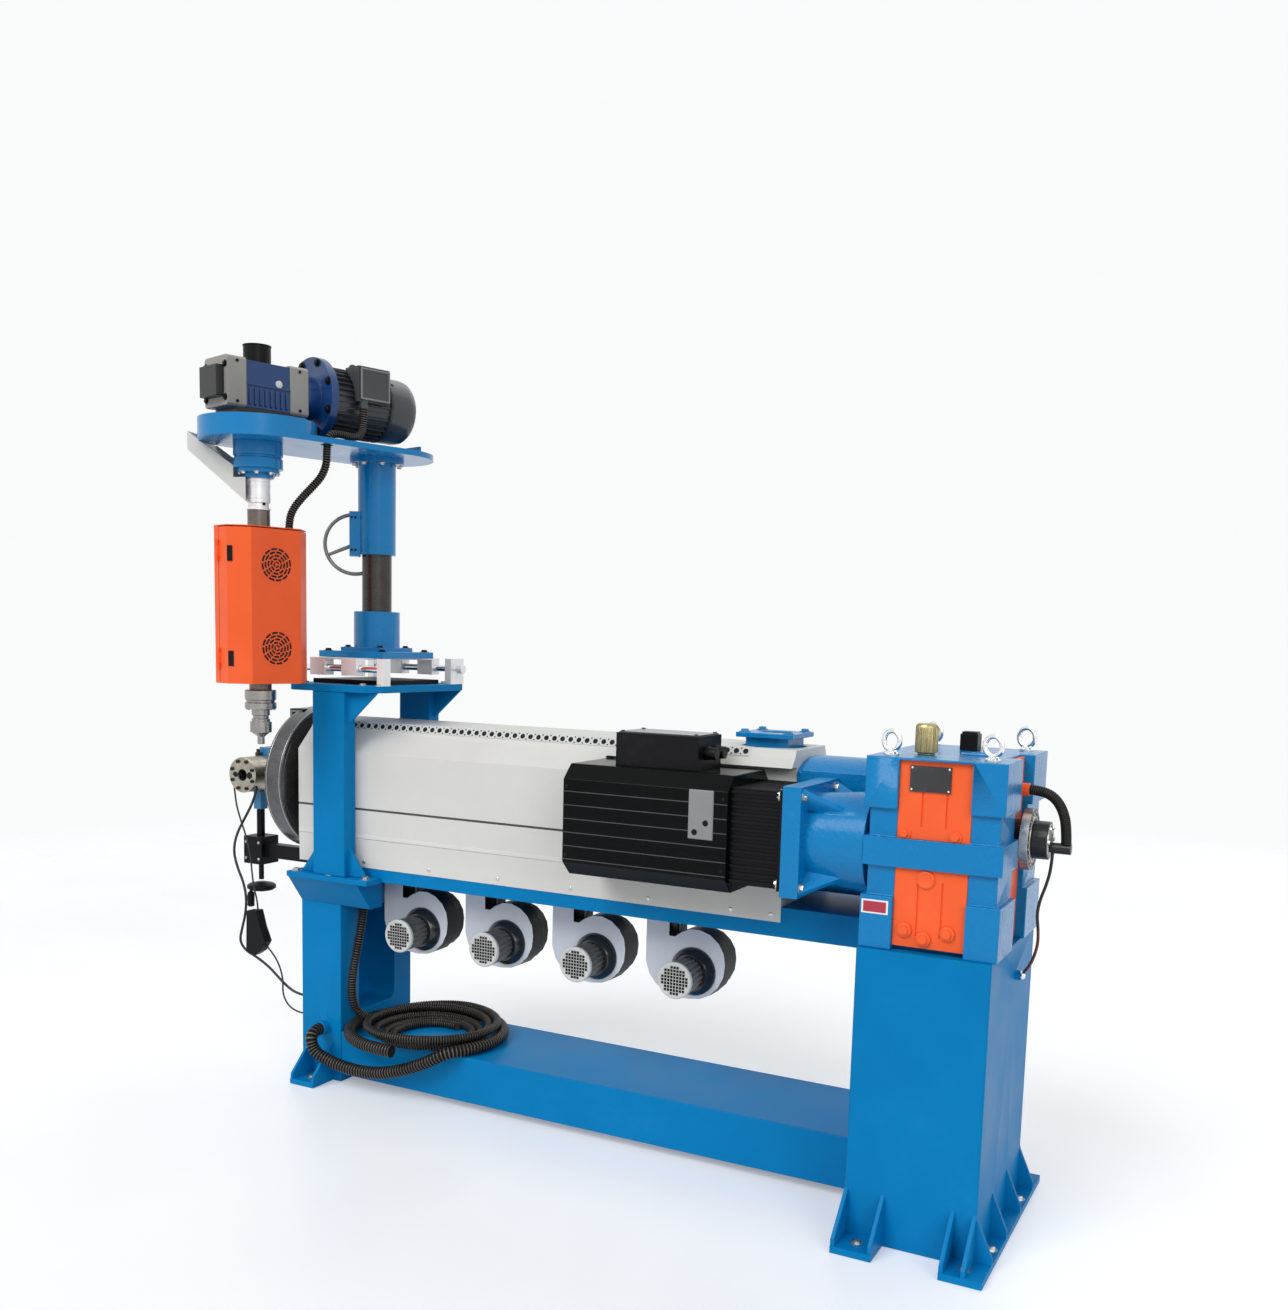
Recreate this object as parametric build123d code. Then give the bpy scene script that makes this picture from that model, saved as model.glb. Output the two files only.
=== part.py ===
from build123d import *
import math
import os

os.makedirs("parts", exist_ok=True)

# Frame: millimetres, +Z up, +X along the barrel towards the gearbox, -Y towards the drive motor side.
# The origin is on the floor, on the barrel axis, under the middle of the rear pedestal.

axis_h = 1000.0            # height of the barrel and crosshead axes
cut_over = 5.0             # how far every cutting shape runs past what it cuts
run_gap = 0.6              # running clearance of sliding and turning pieces
few_sides = 24             # sides of the plain round pieces
slender_sides = 8          # sides of cords, wires and rims

# Rear pedestal
rear_len = 334.0
rear_wide = 520.0
rear_drop = 243.0
rear_high = axis_h - rear_drop
gear_off = 147.0           # offset of the gearbox middle from the barrel axis
foot_reach = 101.0
foot_long = 105.0
foot_thick = 18.0
foot_inset = 3.0
gusset_high = 118.0
gusset_thick = 10.0
gusset_tip = 16.0
bolt_hole = 18.0
side_reach = 42.0
foot_lap = 12.0
side_gussets = 4
rear_bevel = 4.0
clip_y = -108.0
clip_h = 668.0
clip_r = 12.0
clip_long = 15.0

# Front pedestal, beam and bed
front_x = -2169.0          # outer face of the front pedestal
front_long = 167.0
bed_wide = 375.0
beam_low = 26.0
beam_high = 148.0
front_drop = 395.0
front_top = axis_h - front_drop
front_foot_long = 100.0
cutout_wide = 190.0
cutout_low = 225.0
cutout_high = 640.0
cutout_deep = 120.0
cutout_round = 30.0
loop_gland_x = -2070.0
loop_gland_h = 180.0
loop_gland_r = 24.0
loop_gland_long = 26.5
flare_drop = 303.0
flare_top = axis_h - flare_drop
plate_thick = 18.0
plate_x0 = -2168.0
plate_long = 335.0
plate_half = 262.0
flare_right = 292.0
rail_drop = 300.0
rail_low = axis_h - rail_drop
rail_high = 85.0
rail_x1 = -167.0
rail_wall = 60.0

# Barrel cover
cover_x0 = -2176.0
cover_long = 1724.0
cover_drop = 258.0
cover_low = axis_h - cover_drop
skirt_half = 190.5
ridge_half = 193.0
ridge_drop = 155.0
ridge_low = axis_h - ridge_drop
ridge_rise = 117.0
ridge_high = axis_h + ridge_rise
strip_low_half = 127.0
strip_low_rise = 186.0
strip_low = axis_h + strip_low_rise
strip_high_half = 115.0
strip_high_rise = 211.0
strip_high = axis_h + strip_high_rise
seam_drop = 70.0
seam_h = axis_h - seam_drop
seam_deep = 4.0
seam_high = 7.0
strip_x0 = 170.0
strip_long = 1420.0
strip_thick = 2.5

# Portal over the cover
portal_x = -1996.0
post_long = 130.0
post_deep = 56.0
post_in = 196.0
portal_gusset = 100.0
top_gusset_long = 115.0
top_gusset_high = 105.0
foot_gusset = 72.0
deck_long = 388.0
deck_half = 256.0
deck_thick = 22.0
deck_rise = 313.0
deck_low = axis_h + deck_rise
deck_corner = 45.0

# Cross slide on the deck
column_x = -2003.0
block_long = 26.0
block_wide = 36.0
block_high = 86.0
rod_half = 198.0
rod_r = 11.0
rod_rise = 52.0
bearing_long = 62.0
bearing_wide = 44.0
bearing_high = 46.0
bearing_gap = 130.0
base_wide = 300.0
base_long = 290.0
base_thick = 14.0
carriage_long = 192.0
carriage_thick = 5.0
carriage_drop = 6.0
knob_r = 15.0
knob_long = 22.0
knob_stem = 16.0

# Swing column
arm_rise = 1070.0
arm_low = axis_h + arm_rise
flange_side = 268.0
flange_thick = 21.0
flange2_side = 168.0
flange2_thick = 13.0
socket_r = 75.5
socket_high = 118.0
tube_r = 48.5
tube_sink = 36.0
tube_top = arm_low - tube_sink
sleeve_r = 61.5
sleeve_long = 312.0
sleeve_low = arm_low - sleeve_long
sleeve_top_flange_r = 88.0
sleeve_top_flange_thick = 16.0

# Arm
arm_turn = 74.0
arm_reach = 435.0
arm_thick = 18.0
arm_end_r = 184.0
arm_tip_r = 176.0
rim_high = 62.0
rim_thick = 12.0
rim_along = 60.0
rest_tab = 50.0
tab_thick = 8.0
tab_high = 36.0
conduit_hole_x = -283.0
conduit_hole_y = -142.0
conduit_hole_r = 20.0

# Lift gear on the sleeve
bracket_long = 27.0
bracket_wide = 60.0
bracket_drop = 318.0
bracket_low = arm_low - bracket_drop
bracket_high = 145.0
wheel_r = 105.0
wheel_tube = 6.5
wheel_hub_r = 15.0
wheel_hub_long = 34.0
wheel_drop = 273.0
wheel_h = arm_low - wheel_drop
wheel_turn = -36.0
wheel_reach = 90.0
wheel_shaft_r = 8.0
spoke_turn = 247.0
spoke_r = 6.0
spoke_count = 3

# Vertical injection extruder
house_r = 74.0
house_high = 93.0
house_low = arm_low - house_high
house_step = 10.0
bearing_seal_r = 46.0
seal_high = 15.0
feed_r = 36.0
feed_drop = 203.0
feed_low = arm_low - feed_drop
bar_r = 34.0
bar_drop = 753.0
bar_low = arm_low - bar_drop
guard_drop = 731.0
guard_low = arm_low - guard_drop
guard_high = 474.0
guard_long = 272.0
guard_front = 100.0
guard_back = 78.0
guard_chamfer = 52.0
guard_wall = 3.0
guard_inset_share = 2 - math.sqrt(2)     # how a 45 degree corner shrinks as the outline shrinks
hinge_r = 6.0
hinge_long = 34.0
hinge_step = 14.0
hinge_share = 0.16
door_gap = 3.0
collar_r = 48.0
collar_drop = 812.0
collar_low = arm_low - collar_drop
nozzle_r = 28.0
nozzle_tip_r = 11.0
nozzle_drop = 924.0
nozzle_low = arm_low - nozzle_drop
nozzle_band_r = 33.0
nozzle_band_drop = 887.0
nozzle_band_low = arm_low - nozzle_band_drop
nozzle_band_high = 35.0
chute_wide = 95.0
chute_out = 210.0
chute_rise = 30.0
chute_top = arm_low + chute_rise
chute_end = 55.0
chute_drop = 180.0
chute_low = arm_low - chute_drop
chute_root = 80.0
chute_turn = 122.0
chute_clear = 2.0
chute_wall = 3.0

# Reducer and injector motor
red_rise = 158.0
red_mid_h = arm_low + red_rise
red_wide = 128.0
red_high = 136.0
red_core_long = 146.0
red_cap_long = 64.0
red_cap_grow = 7.0
red_base_high = 26.0
red_step_long = 26.0
red_step_share = 0.66
red_step_half = 51.0
top_pipe_r = 41.0
top_pipe_high = 60.0
mflange_r = 126.0
mflange_thick = 26.0
mneck_long = 46.0
mneck_r = 66.0
imotor_r = 106.0
imotor_long = 222.0
icowl_long = 96.0
icowl_r = 104.0
ibox_x0 = -156.0
ibox_long = 116.0
ibox_face = 134.0
ibox_low_drop = 6.0
ibox_high = 108.0
ibox_lid = 8.0
ibox_lid_inset = 5.0
arm_gland_x = -133.0
arm_gland_y = -118.0
arm_gland_r = 14.0
arm_gland_long = 20.0

# Crosshead and head clamp
head_x = -2483.0
head_r = 62.0
head_half = 137.0
head_bore_r = 18.0
head_face_r = 57.0
head_face_deep = 8.0
side_hole_r = 9.0
side_hole_off = 36.0
inlet_side = 52.0
inlet_top_rise = 90.0
inlet_top = axis_h + inlet_top_rise
inlet_r = 14.0
neck_r = 54.0
inlet_low_rise = 56.0
inlet_low = axis_h + inlet_low_rise
clamp_x0 = -2263.0
clamp_long = 56.0
clamp_r = 245.0
clamp_band = 14.0
clamp_hub_r = 108.0
clamp_hub_long = 76.0
clamp_arm_wide = 36.0
hbox_long = 60.0
hbox_wide = 104.0
hbox_high = 108.0
hbox_rise = 130.0
hbox_low = axis_h + hbox_rise
hbox_x = -2283.0
hbox_y = -30.0
jack_r = 14.0
jack_y = -50.0
jack_tag = 34.0
jack_tag_high = 64.0
jblock_side = 84.0
jblock_drop = 320.0
jblock_low = axis_h - jblock_drop
jblock_high = 98.0
jblock_reach = 40.0
jtie_drop = 233.0
jblock_top = axis_h - jtie_drop
screw_r = 9.0
jwheel_r = 50.0
jwheel_high = 34.0
jwheel_drop = 424.0
jwheel_low = axis_h - jwheel_drop
jgrip_r = 13.0
jgrip_long = 72.0
jgrip_off = 26.0
jhub_r = 13.5

# Thrust housing and feed throat
thrust_x0 = -452.0
thrust_r = 192.0
seal_long = 14.0
seal_r = 187.0
throat_x = -563.0
throat_side = 128.0
throat_flange = 172.0
throat_flange_thick = 14.0
throat_rise = 250.0
throat_top = axis_h + throat_rise
throat_bore_r = 42.0
throat_bore_deep = 45.0

# Gearbox
gear_long = 343.0
gear_wide = 494.0
gear_low = rear_high
gear_high = 478.0
gear_recess_side = 22.0
gear_window_share = 0.52
gear_end_recess = 26.0
gear_end_window_share = 0.30
band_drop = 35.0
band_low = axis_h - band_drop
band_high = 72.0
corner_step = 12.0
corner_low_drop = 110.0
corner_low_top = axis_h - corner_low_drop
corner_up_rise = 108.0
corner_up_low = axis_h + corner_up_rise
gear_lid = 6.0
hose_fitting_rise = 154.0
hose_fitting_h = axis_h + hose_fitting_rise
hose_fitting_r = 16.0
hose_fitting_long = 6.0
core_groove = 4.0
core_edge = 30.0
eye_r = 24.0
eye_wire = 6.5
eye_stem = 12.0
eye_stem_r = 13.0
eye_inset = 48.0
cap_r = 29.0
cap_high = 78.0
breather_side = 46.0
breather_high = 50.0
encoder_y = -150.0
encoder_rise = 30.0
encoder_h = axis_h + encoder_rise
encoder_r = 78.0
encoder_rim = 22.0
encoder_core_r = 48.0
encoder_core = 62.0
elbow_out = 114.0
elbow_drop = 17.0
elbow_r = 14.0

# Drive motor
motor_y = -260.0
motor_side = 262.0
motor_long = 150.0
bell_flange_side = 286.0
bell_flange_thick = 50.0
bell_rib_r = 188.0
bell_rib_long = 110.0
bell_rib_thick = 14.0
bell_ribs = 4
bell_r0 = 118.0
bell_r1 = 132.0
hood_wide = 288.0
hood_high = 312.0
hood_x1 = -528.0
hood_long = 496.0
hood_chamfer = 40.0
hood_nest = 6.0           # gap between the drive motor and what it nests beside
mbox_long = 250.0
mbox_wide = 150.0
mbox_high = 92.0
mbox_back = 40.0
gland_r = 17.0
gland_long = 34.0
gland_off = 27.0
mbox_x1 = -648.0
bracket_plate_long = 70.0
bracket_plate_high = 130.0
bracket_plate_thick = 5.0

# Cooling blowers under the bed
blower_first = -1771.0
blower_pitch = 332.0
blower_count = 4
blower_drop = 472.0
blower_h = axis_h - blower_drop
blower_y = -49.0
volute_r = 128.0
volute_deep = 66.0
volute_back_deep = 44.0
volute_back_share = 0.9    # how much smaller the stepped back of the volute is
duct_out = 160.0
duct_in = 82.0
fan_motor_r = 49.0
fan_motor_long = 118.0
fan_cap_r = 54.0
fan_cap_long = 12.0
fan_neck_r = 70.0
fan_neck_long = 30.0
# The volute's outline round the motor axis, from the foot of the duct, in shares of volute_r
volute_shares = [(-1.24, 0.05), (-1.15, -0.21), (-0.98, -0.43), (-0.74, -0.58), (-0.47, -0.66), (-0.16, -0.68),
                 (0.16, -0.64), (0.43, -0.52), (0.64, -0.31), (0.77, -0.04), (0.80, 0.25), (0.76, 0.51),
                 (0.62, 0.74), (0.41, 0.91), (0.14, 1.0), (-0.12, 0.99), (-0.35, 0.88), (-0.5, 0.77)]


def span(x0, x1, y0, y1, z0, z1):
    """A box between two corners."""
    return Pos((x0 + x1) / 2, (y0 + y1) / 2, (z0 + z1) / 2) * Box(x1 - x0, y1 - y0, z1 - z0)


def rod_z(x, y, z0, z1, r):
    """An upright cylinder."""
    return Pos(x, y, (z0 + z1) / 2) * Cylinder(r, z1 - z0)


def rod_x(x0, x1, y, z, r):
    """A cylinder along X."""
    return Pos((x0 + x1) / 2, y, z) * Rot(0, 90, 0) * Cylinder(r, x1 - x0)


def rod_y(y0, y1, x, z, r):
    """A cylinder along Y."""
    return Pos(x, (y0 + y1) / 2, z) * Rot(90, 0, 0) * Cylinder(r, y1 - y0)


def rod_flat(x, y, z0, z1, r, sides=few_sides):
    """An upright prism with few sides, for round pieces that repeat."""
    return extrude(Pos(x, y, z0) * RegularPolygon(r, sides), amount=z1 - z0, dir=(0, 0, 1))


def prism_x(points, x0, x1):
    """An outline of (y, z) points drawn out along X."""
    face = make_face(Polyline([(x0, y, z) for y, z in points], close=True))
    return extrude(face, amount=x1 - x0, dir=(1, 0, 0))


def prism_y(points, y0, y1):
    """An outline of (x, z) points drawn out along Y."""
    face = make_face(Polyline([(x, y0, z) for x, z in points], close=True))
    return extrude(face, amount=y1 - y0, dir=(0, 1, 0))


def prism_z(points, z0, z1):
    """An outline of (x, y) points drawn out upwards."""
    face = make_face(Polyline([(x, y, z0) for x, y in points], close=True))
    return extrude(face, amount=z1 - z0, dir=(0, 0, 1))


def ring_y(r, wire):
    """A ring about the Y axis with a faceted section."""
    band = extrude(Plane.XZ * (RegularPolygon(r + wire, few_sides) - RegularPolygon(r - wire, few_sides)),
                   amount=wire, both=True)
    return chamfer(band.edges().filter_by(GeomType.LINE).filter_by(Axis.Y, reverse=True), wire / 3)


def save(name, shape):
    """Write one piece."""
    solids = shape.solids()
    out = solids[0] if len(solids) == 1 else Compound(children=solids)
    out.label = name
    export_step(out, f"parts/{name}.step")


# Rear pedestal: a closed column with foot plates, bolt holes and gussets
rear_x0, rear_x1 = -rear_len / 2, rear_len / 2
rear_y0, rear_y1 = -gear_off - rear_wide / 2, -gear_off + rear_wide / 2
rear = span(rear_x0, rear_x1, rear_y0, rear_y1, 0, rear_high)
rear = chamfer(rear.edges().filter_by(Axis.Z), rear_bevel)
for side in (-1, 1):
    y_in = -gear_off + side * rear_wide / 2
    y_out = y_in + side * foot_reach
    for x0 in (rear_x0, rear_x1 + side_reach - foot_long):
        x1 = x0 + foot_long
        ya, yb = sorted((y_in - side * foot_lap, y_out))
        rear += span(x0, x1, ya, yb, 0, foot_thick)
        for gx in (x0, min(x1, rear_x1) - gusset_thick):
            ga, gb = y_in - side * foot_inset, y_out - side * foot_inset
            pts = [(ga, foot_thick - foot_inset), (gb, foot_thick - foot_inset),
                   (gb, foot_thick + gusset_tip), (ga, foot_thick + gusset_high)]
            rear += prism_x(pts, gx, gx + gusset_thick)
        rear -= rod_z((x0 + x1) / 2, (y_in + y_out) / 2, -cut_over, foot_thick + cut_over, bolt_hole / 2)
rear += span(rear_x1 - foot_lap, rear_x1 + side_reach, rear_y0, rear_y1, 0, foot_thick)
for k in range(side_gussets):
    gy = rear_y0 + (rear_wide - gusset_thick) * k / (side_gussets - 1)
    pts = [(rear_x1 - foot_inset, foot_thick - foot_inset), (rear_x1 + side_reach, foot_thick - foot_inset),
           (rear_x1 + side_reach, foot_thick + gusset_tip), (rear_x1 - foot_inset, foot_thick + gusset_high)]
    rear += prism_y(pts, gy, gy + gusset_thick)
for k in (0, 2):
    hy = rear_y0 + (rear_wide - gusset_thick) * (k + 1 / 2) / (side_gussets - 1)
    rear -= rod_z(rear_x1 + side_reach / 2, hy, -cut_over, foot_thick + cut_over, bolt_hole / 2)
rear += rod_x(rear_x1 - cut_over, rear_x1 + clip_long, clip_y, clip_h, clip_r)
save("rear_pedestal", rear)

# Front pedestal with its foot plate, hollowed on the +X side
bed_y = bed_wide / 2
front_x1 = front_x + front_long
front = span(front_x, front_x1, -bed_y, bed_y, 0, front_top)
pocket = span(front_x1 - cutout_deep, front_x1 + cut_over, -cutout_wide / 2, cutout_wide / 2,
              cutout_low, min(cutout_high, front_top - cutout_round))
pocket = fillet(pocket.edges().filter_by(Axis.X), cutout_round)
front -= pocket
foot_x0 = (front_x + front_x1 - front_foot_long) / 2
foot_x1 = foot_x0 + front_foot_long
for side in (-1, 1):
    y_in, y_out = side * bed_y, side * (bed_y + foot_reach)
    ya, yb = sorted((y_in - side * foot_lap, y_out))
    front += span(foot_x0, foot_x1, ya, yb, 0, foot_thick)
    for gx in (foot_x0, foot_x1 - gusset_thick):
        ga, gb = y_in - side * foot_inset, y_out - side * foot_inset
        pts = [(ga, foot_thick - foot_inset), (gb, foot_thick - foot_inset),
               (gb, foot_thick + gusset_tip), (ga, foot_thick + gusset_high)]
        front += prism_x(pts, gx, gx + gusset_thick)
    front -= rod_z((front_x + front_x1) / 2, (y_in + y_out) / 2, -cut_over, foot_thick + cut_over,
                   bolt_hole / 2)
front += rod_y(-bed_y - loop_gland_long, -bed_y + cut_over, loop_gland_x, loop_gland_h, loop_gland_r)
save("front_pedestal", front)

# Base beam between the pedestals
save("base_beam", span(front_x1, rear_x0, -bed_y, bed_y, beam_low, beam_low + beam_high))

# Flare bracket that widens the pedestal to the portal plate
plate_x1 = plate_x0 + plate_long
flare_x1 = front_x + flare_right
low_ring = [(front_x, -bed_y), (flare_x1, -bed_y), (flare_x1, bed_y), (front_x, bed_y)]
top_y = plate_half - foot_inset * 2
top_ring = [(plate_x0, -top_y), (flare_x1, -top_y), (flare_x1, top_y), (plate_x0, top_y)]
flare = loft([make_face(Polyline([(x, y, front_top) for x, y in low_ring], close=True)),
              make_face(Polyline([(x, y, flare_top) for x, y in top_ring], close=True))])
flare += span(plate_x0, plate_x1, -plate_half, plate_half, flare_top, flare_top + plate_thick)
flare -= span(front_x1, plate_x1 + cut_over, -bed_y + rail_wall, bed_y - rail_wall, front_top - cut_over,
              flare_top + plate_thick + cut_over)
flare -= span(front_x1, plate_x1 + cut_over, -bed_y, bed_y, rail_low, flare_top + plate_thick + cut_over)
save("flare_bracket", flare)

# Bed frame: a closed box section that the cover stands on
rail_x0 = front_x1
save("bed_frame", span(rail_x0, rail_x1, -bed_y, bed_y, rail_low, rail_low + rail_high))

# Where the drive motor lies beside the cover
hood_x0 = hood_x1 - hood_long
hood_top = axis_h + hood_high / 2
body_x1 = hood_x1 + motor_long
nest_y = motor_y + hood_wide / 2 + hood_nest

# Barrel cover: a long faceted housing with a seam along each side, recessed where the motor nests
cover_x1 = cover_x0 + cover_long
half = [(skirt_half, cover_low), (skirt_half, ridge_low - (ridge_low - cover_low) / 2), (ridge_half, ridge_low),
        (ridge_half, ridge_high), (strip_low_half, strip_low), (strip_high_half, strip_high)]
outline = half + [(-y, z) for y, z in reversed(half)]
cover = prism_x(outline, cover_x0, cover_x1)
bed_top = rail_low + rail_high
cover -= span(front_x1, cover_x1 + cut_over, -bed_y, bed_y, cover_low - cut_over, bed_top)
for side in (-1, 1):
    ya, yb = sorted((side * (ridge_half - seam_deep), side * (ridge_half + cut_over)))
    cover -= span(cover_x0 - cut_over, cover_x1 + cut_over, ya, yb, seam_h, seam_h + seam_high)
cover -= span(hood_x0 - hood_nest, cover_x1 + cut_over, -ridge_half - cut_over, nest_y,
              axis_h - hood_high / 2 - hood_nest, hood_top + hood_nest)
cover -= rod_z(throat_x, 0, strip_low, strip_high + cut_over, math.hypot(throat_side, throat_side) / 2 + run_gap)
# Raised vent strips along both upper edges
run_y, run_z = strip_low_half - strip_high_half, strip_high - strip_low
run = math.hypot(run_y, run_z)
out_y, out_z = run_z / run * strip_thick, run_y / run * strip_thick
for side in (-1, 1):
    pts = [(side * strip_low_half, strip_low), (side * strip_high_half, strip_high),
           (side * (strip_high_half + out_y), strip_high + out_z),
           (side * (strip_low_half + out_y), strip_low + out_z)]
    cover += prism_x(pts, cover_x0 + strip_x0, cover_x0 + strip_x0 + strip_long)
save("barrel_cover", cover)

# Portal posts with gussets at the foot and the head
plate_top = flare_top + plate_thick
posts = []
for side in (-1, 1):
    ya, yb = sorted((side * post_in, side * (post_in + post_deep)))
    ym = (ya + yb) / 2
    post = span(portal_x - post_long / 2, portal_x + post_long / 2, ya, yb, plate_top, deck_low)
    x1 = portal_x + post_long / 2
    x0 = portal_x - post_long / 2
    ga, gb = ym - gusset_thick / 2, ym + gusset_thick / 2
    post += prism_y([(x1 - foot_inset, deck_low - top_gusset_high), (x1 + top_gusset_long, deck_low),
                     (x1 - foot_inset, deck_low)], ga, gb)
    post += prism_y([(x1 - foot_inset, plate_top), (x1 + foot_gusset, plate_top),
                     (x1 - foot_inset, plate_top + portal_gusset)], ga, gb)
    post += prism_y([(x0 + foot_inset, plate_top), (x0 - foot_gusset, plate_top),
                     (x0 + foot_inset, plate_top + portal_gusset)], ga, gb)
    posts.append(post)
save("portal_posts", Compound(children=posts))

# Deck plate of the portal
deck_x0, deck_x1 = portal_x - deck_long / 2, portal_x + deck_long / 2
deck_top = deck_low + deck_thick
deck = span(deck_x0, deck_x1, -deck_half, deck_half, deck_low, deck_top)
deck = chamfer(deck.edges().filter_by(Axis.Z), deck_corner)
save("deck_plate", deck)

# Cross slide: base plate, end blocks and two guide rods
slide_z = deck_top + rod_rise
flange_low = deck_top + block_high - carriage_drop
base = span(column_x - base_long / 2, column_x + base_long / 2, -base_wide / 2, base_wide / 2, deck_top,
            deck_top + base_thick)
save("slide_base", base)
rails = []
for side in (-1, 1):
    y = side * rod_half
    rod = rod_x(deck_x0, deck_x1, y, slide_z, rod_r)
    for x0 in (deck_x0, deck_x1 - block_long):
        b = span(x0, x0 + block_long, y - block_wide / 2, y + block_wide / 2, deck_top, deck_top + block_high)
        rod += b
    rails.append(rod)
knob_x = deck_x1
knob_y = rod_half - block_wide
knob = rod_x(knob_x, knob_x + knob_stem, knob_y, slide_z, knob_r / 2)
knob += rod_x(knob_x + knob_stem, knob_x + knob_stem + knob_long, knob_y, slide_z, knob_r)
save("slide_knob", knob)
rails[1] += span(knob_x - block_long, knob_x - run_gap, knob_y - block_wide / 2, rod_half, deck_top,
                 deck_top + block_high)
save("slide_rails", Compound(children=rails))

# Carriage: bearing blocks on the rods, a carriage plate and the column foot
bearings = []
for side in (-1, 1):
    y = side * rod_half
    for sx in (-1, 1):
        x = column_x + sx * bearing_gap / 2
        z0 = slide_z - bearing_high / 2
        b = span(x - bearing_long / 2, x + bearing_long / 2, y - bearing_wide / 2, y + bearing_wide / 2,
                 z0, flange_low)
        b -= rod_x(x - bearing_long, x + bearing_long, y, slide_z, rod_r + run_gap)
        bearings.append(b)
carriage_half = rod_half + bearing_wide / 2
car = span(column_x - carriage_long / 2, column_x + carriage_long / 2, -carriage_half, carriage_half,
           flange_low, flange_low + carriage_thick)
for b in bearings:
    car += b
save("slide_carriage", car)
socket_low = flange_low + carriage_thick + flange_thick + flange2_thick
socket_top = socket_low + socket_high
socket = span(column_x - flange_side / 2, column_x + flange_side / 2, -flange_side / 2, flange_side / 2,
              flange_low + carriage_thick, flange_low + carriage_thick + flange_thick)
socket += span(column_x - flange2_side / 2, column_x + flange2_side / 2, -flange2_side / 2,
               flange2_side / 2, flange_low + carriage_thick + flange_thick, socket_low)
socket += rod_z(column_x, 0, socket_low, socket_top, socket_r)
bore_low = flange_low + carriage_thick + flange_thick
socket -= rod_z(column_x, 0, bore_low, socket_top + cut_over, tube_r + run_gap)
save("column_socket", socket)

# Column tube that turns in the socket
save("column_tube", rod_z(column_x, 0, bore_low + run_gap, tube_top, tube_r))

# Everything on the arm is drawn with the arm along -X from the column, then turned to its rest heading
arm_place = Pos(column_x, 0, 0) * Rot(0, 0, arm_turn)
tip_x = -arm_reach


def save_arm(name, shape):
    """Write one piece of the arm at its rest heading."""
    save(name, arm_place * shape)


sleeve = rod_z(0, 0, sleeve_low, arm_low, sleeve_r)
sleeve += rod_z(0, 0, arm_low - sleeve_top_flange_thick, arm_low, sleeve_top_flange_r)
sleeve -= rod_z(0, 0, sleeve_low - cut_over, arm_low + cut_over, tube_r + run_gap)

# Lift bracket on the side of the sleeve, and its handwheel on a cross shaft behind it
bracket = span(-sleeve_r - bracket_long, -sleeve_r / 2, -bracket_wide / 2, bracket_wide / 2,
               bracket_low, bracket_low + bracket_high)
bracket -= rod_z(0, 0, bracket_low - cut_over, bracket_low + bracket_high + cut_over, sleeve_r)
wheel_place = Rot(0, 0, wheel_turn)
save_arm("lift_sleeve", sleeve + wheel_place * bracket)
wheel_x = -sleeve_r - bracket_long / 2
wheel = rod_y(bracket_wide / 2 + run_gap, wheel_reach, wheel_x, wheel_h, wheel_shaft_r)
wheel += rod_y(wheel_reach - wheel_hub_long / 2, wheel_reach + wheel_hub_long / 2, wheel_x, wheel_h, wheel_hub_r)
wheel += Pos(wheel_x, wheel_reach, wheel_h) * ring_y(wheel_r - wheel_tube, wheel_tube)
for k in range(spoke_count):
    spoke = Pos(0, 0, (wheel_r - wheel_tube) / 2) * Box(spoke_r * 2, spoke_r, wheel_r - wheel_tube)
    wheel += Pos(wheel_x, wheel_reach, wheel_h) * Rot(0, spoke_turn + 360 / spoke_count * k, 0) * spoke
save_arm("lift_handwheel", wheel_place * wheel)

# Arm plate with the raised rim that carries the reducer
arm_top = arm_low + arm_thick
tangent = math.degrees(math.asin((arm_end_r - arm_tip_r) / arm_reach))
ca, sa = math.cos(math.radians(90 - tangent)), math.sin(math.radians(90 - tangent))
body = [(arm_end_r * -ca, arm_end_r * sa), (tip_x + arm_tip_r * -ca, arm_tip_r * sa),
        (tip_x + arm_tip_r * -ca, -arm_tip_r * sa), (arm_end_r * -ca, -arm_end_r * sa)]
arm = rod_z(0, 0, arm_low, arm_top, arm_end_r) + rod_z(tip_x, 0, arm_low, arm_top, arm_tip_r)
arm += prism_z(body, arm_low, arm_top)
rim_top = arm_top + rim_high - arm_thick
rim = rod_z(tip_x, 0, arm_top, rim_top, arm_tip_r)
rim += span(tip_x, tip_x + rim_along, -arm_tip_r, arm_tip_r, arm_top, rim_top)
rim_core = rod_z(tip_x, 0, arm_top, rim_top, arm_tip_r - rim_thick)
rim_core += span(tip_x, tip_x + rim_along + cut_over, -arm_tip_r + rim_thick, arm_tip_r - rim_thick,
                 arm_top, rim_top)
arm += rim - rim_core
tab_x = arm_end_r - rest_tab
arm += span(tab_x, tab_x + tab_thick, -rest_tab, rest_tab, arm_top, arm_top + tab_high)
arm -= rod_z(tip_x, 0, arm_low - cut_over, arm_top + cut_over, feed_r)
arm -= rod_z(conduit_hole_x, conduit_hole_y, arm_low - cut_over, arm_top + cut_over, conduit_hole_r)
save_arm("arm_plate", arm)

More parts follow.
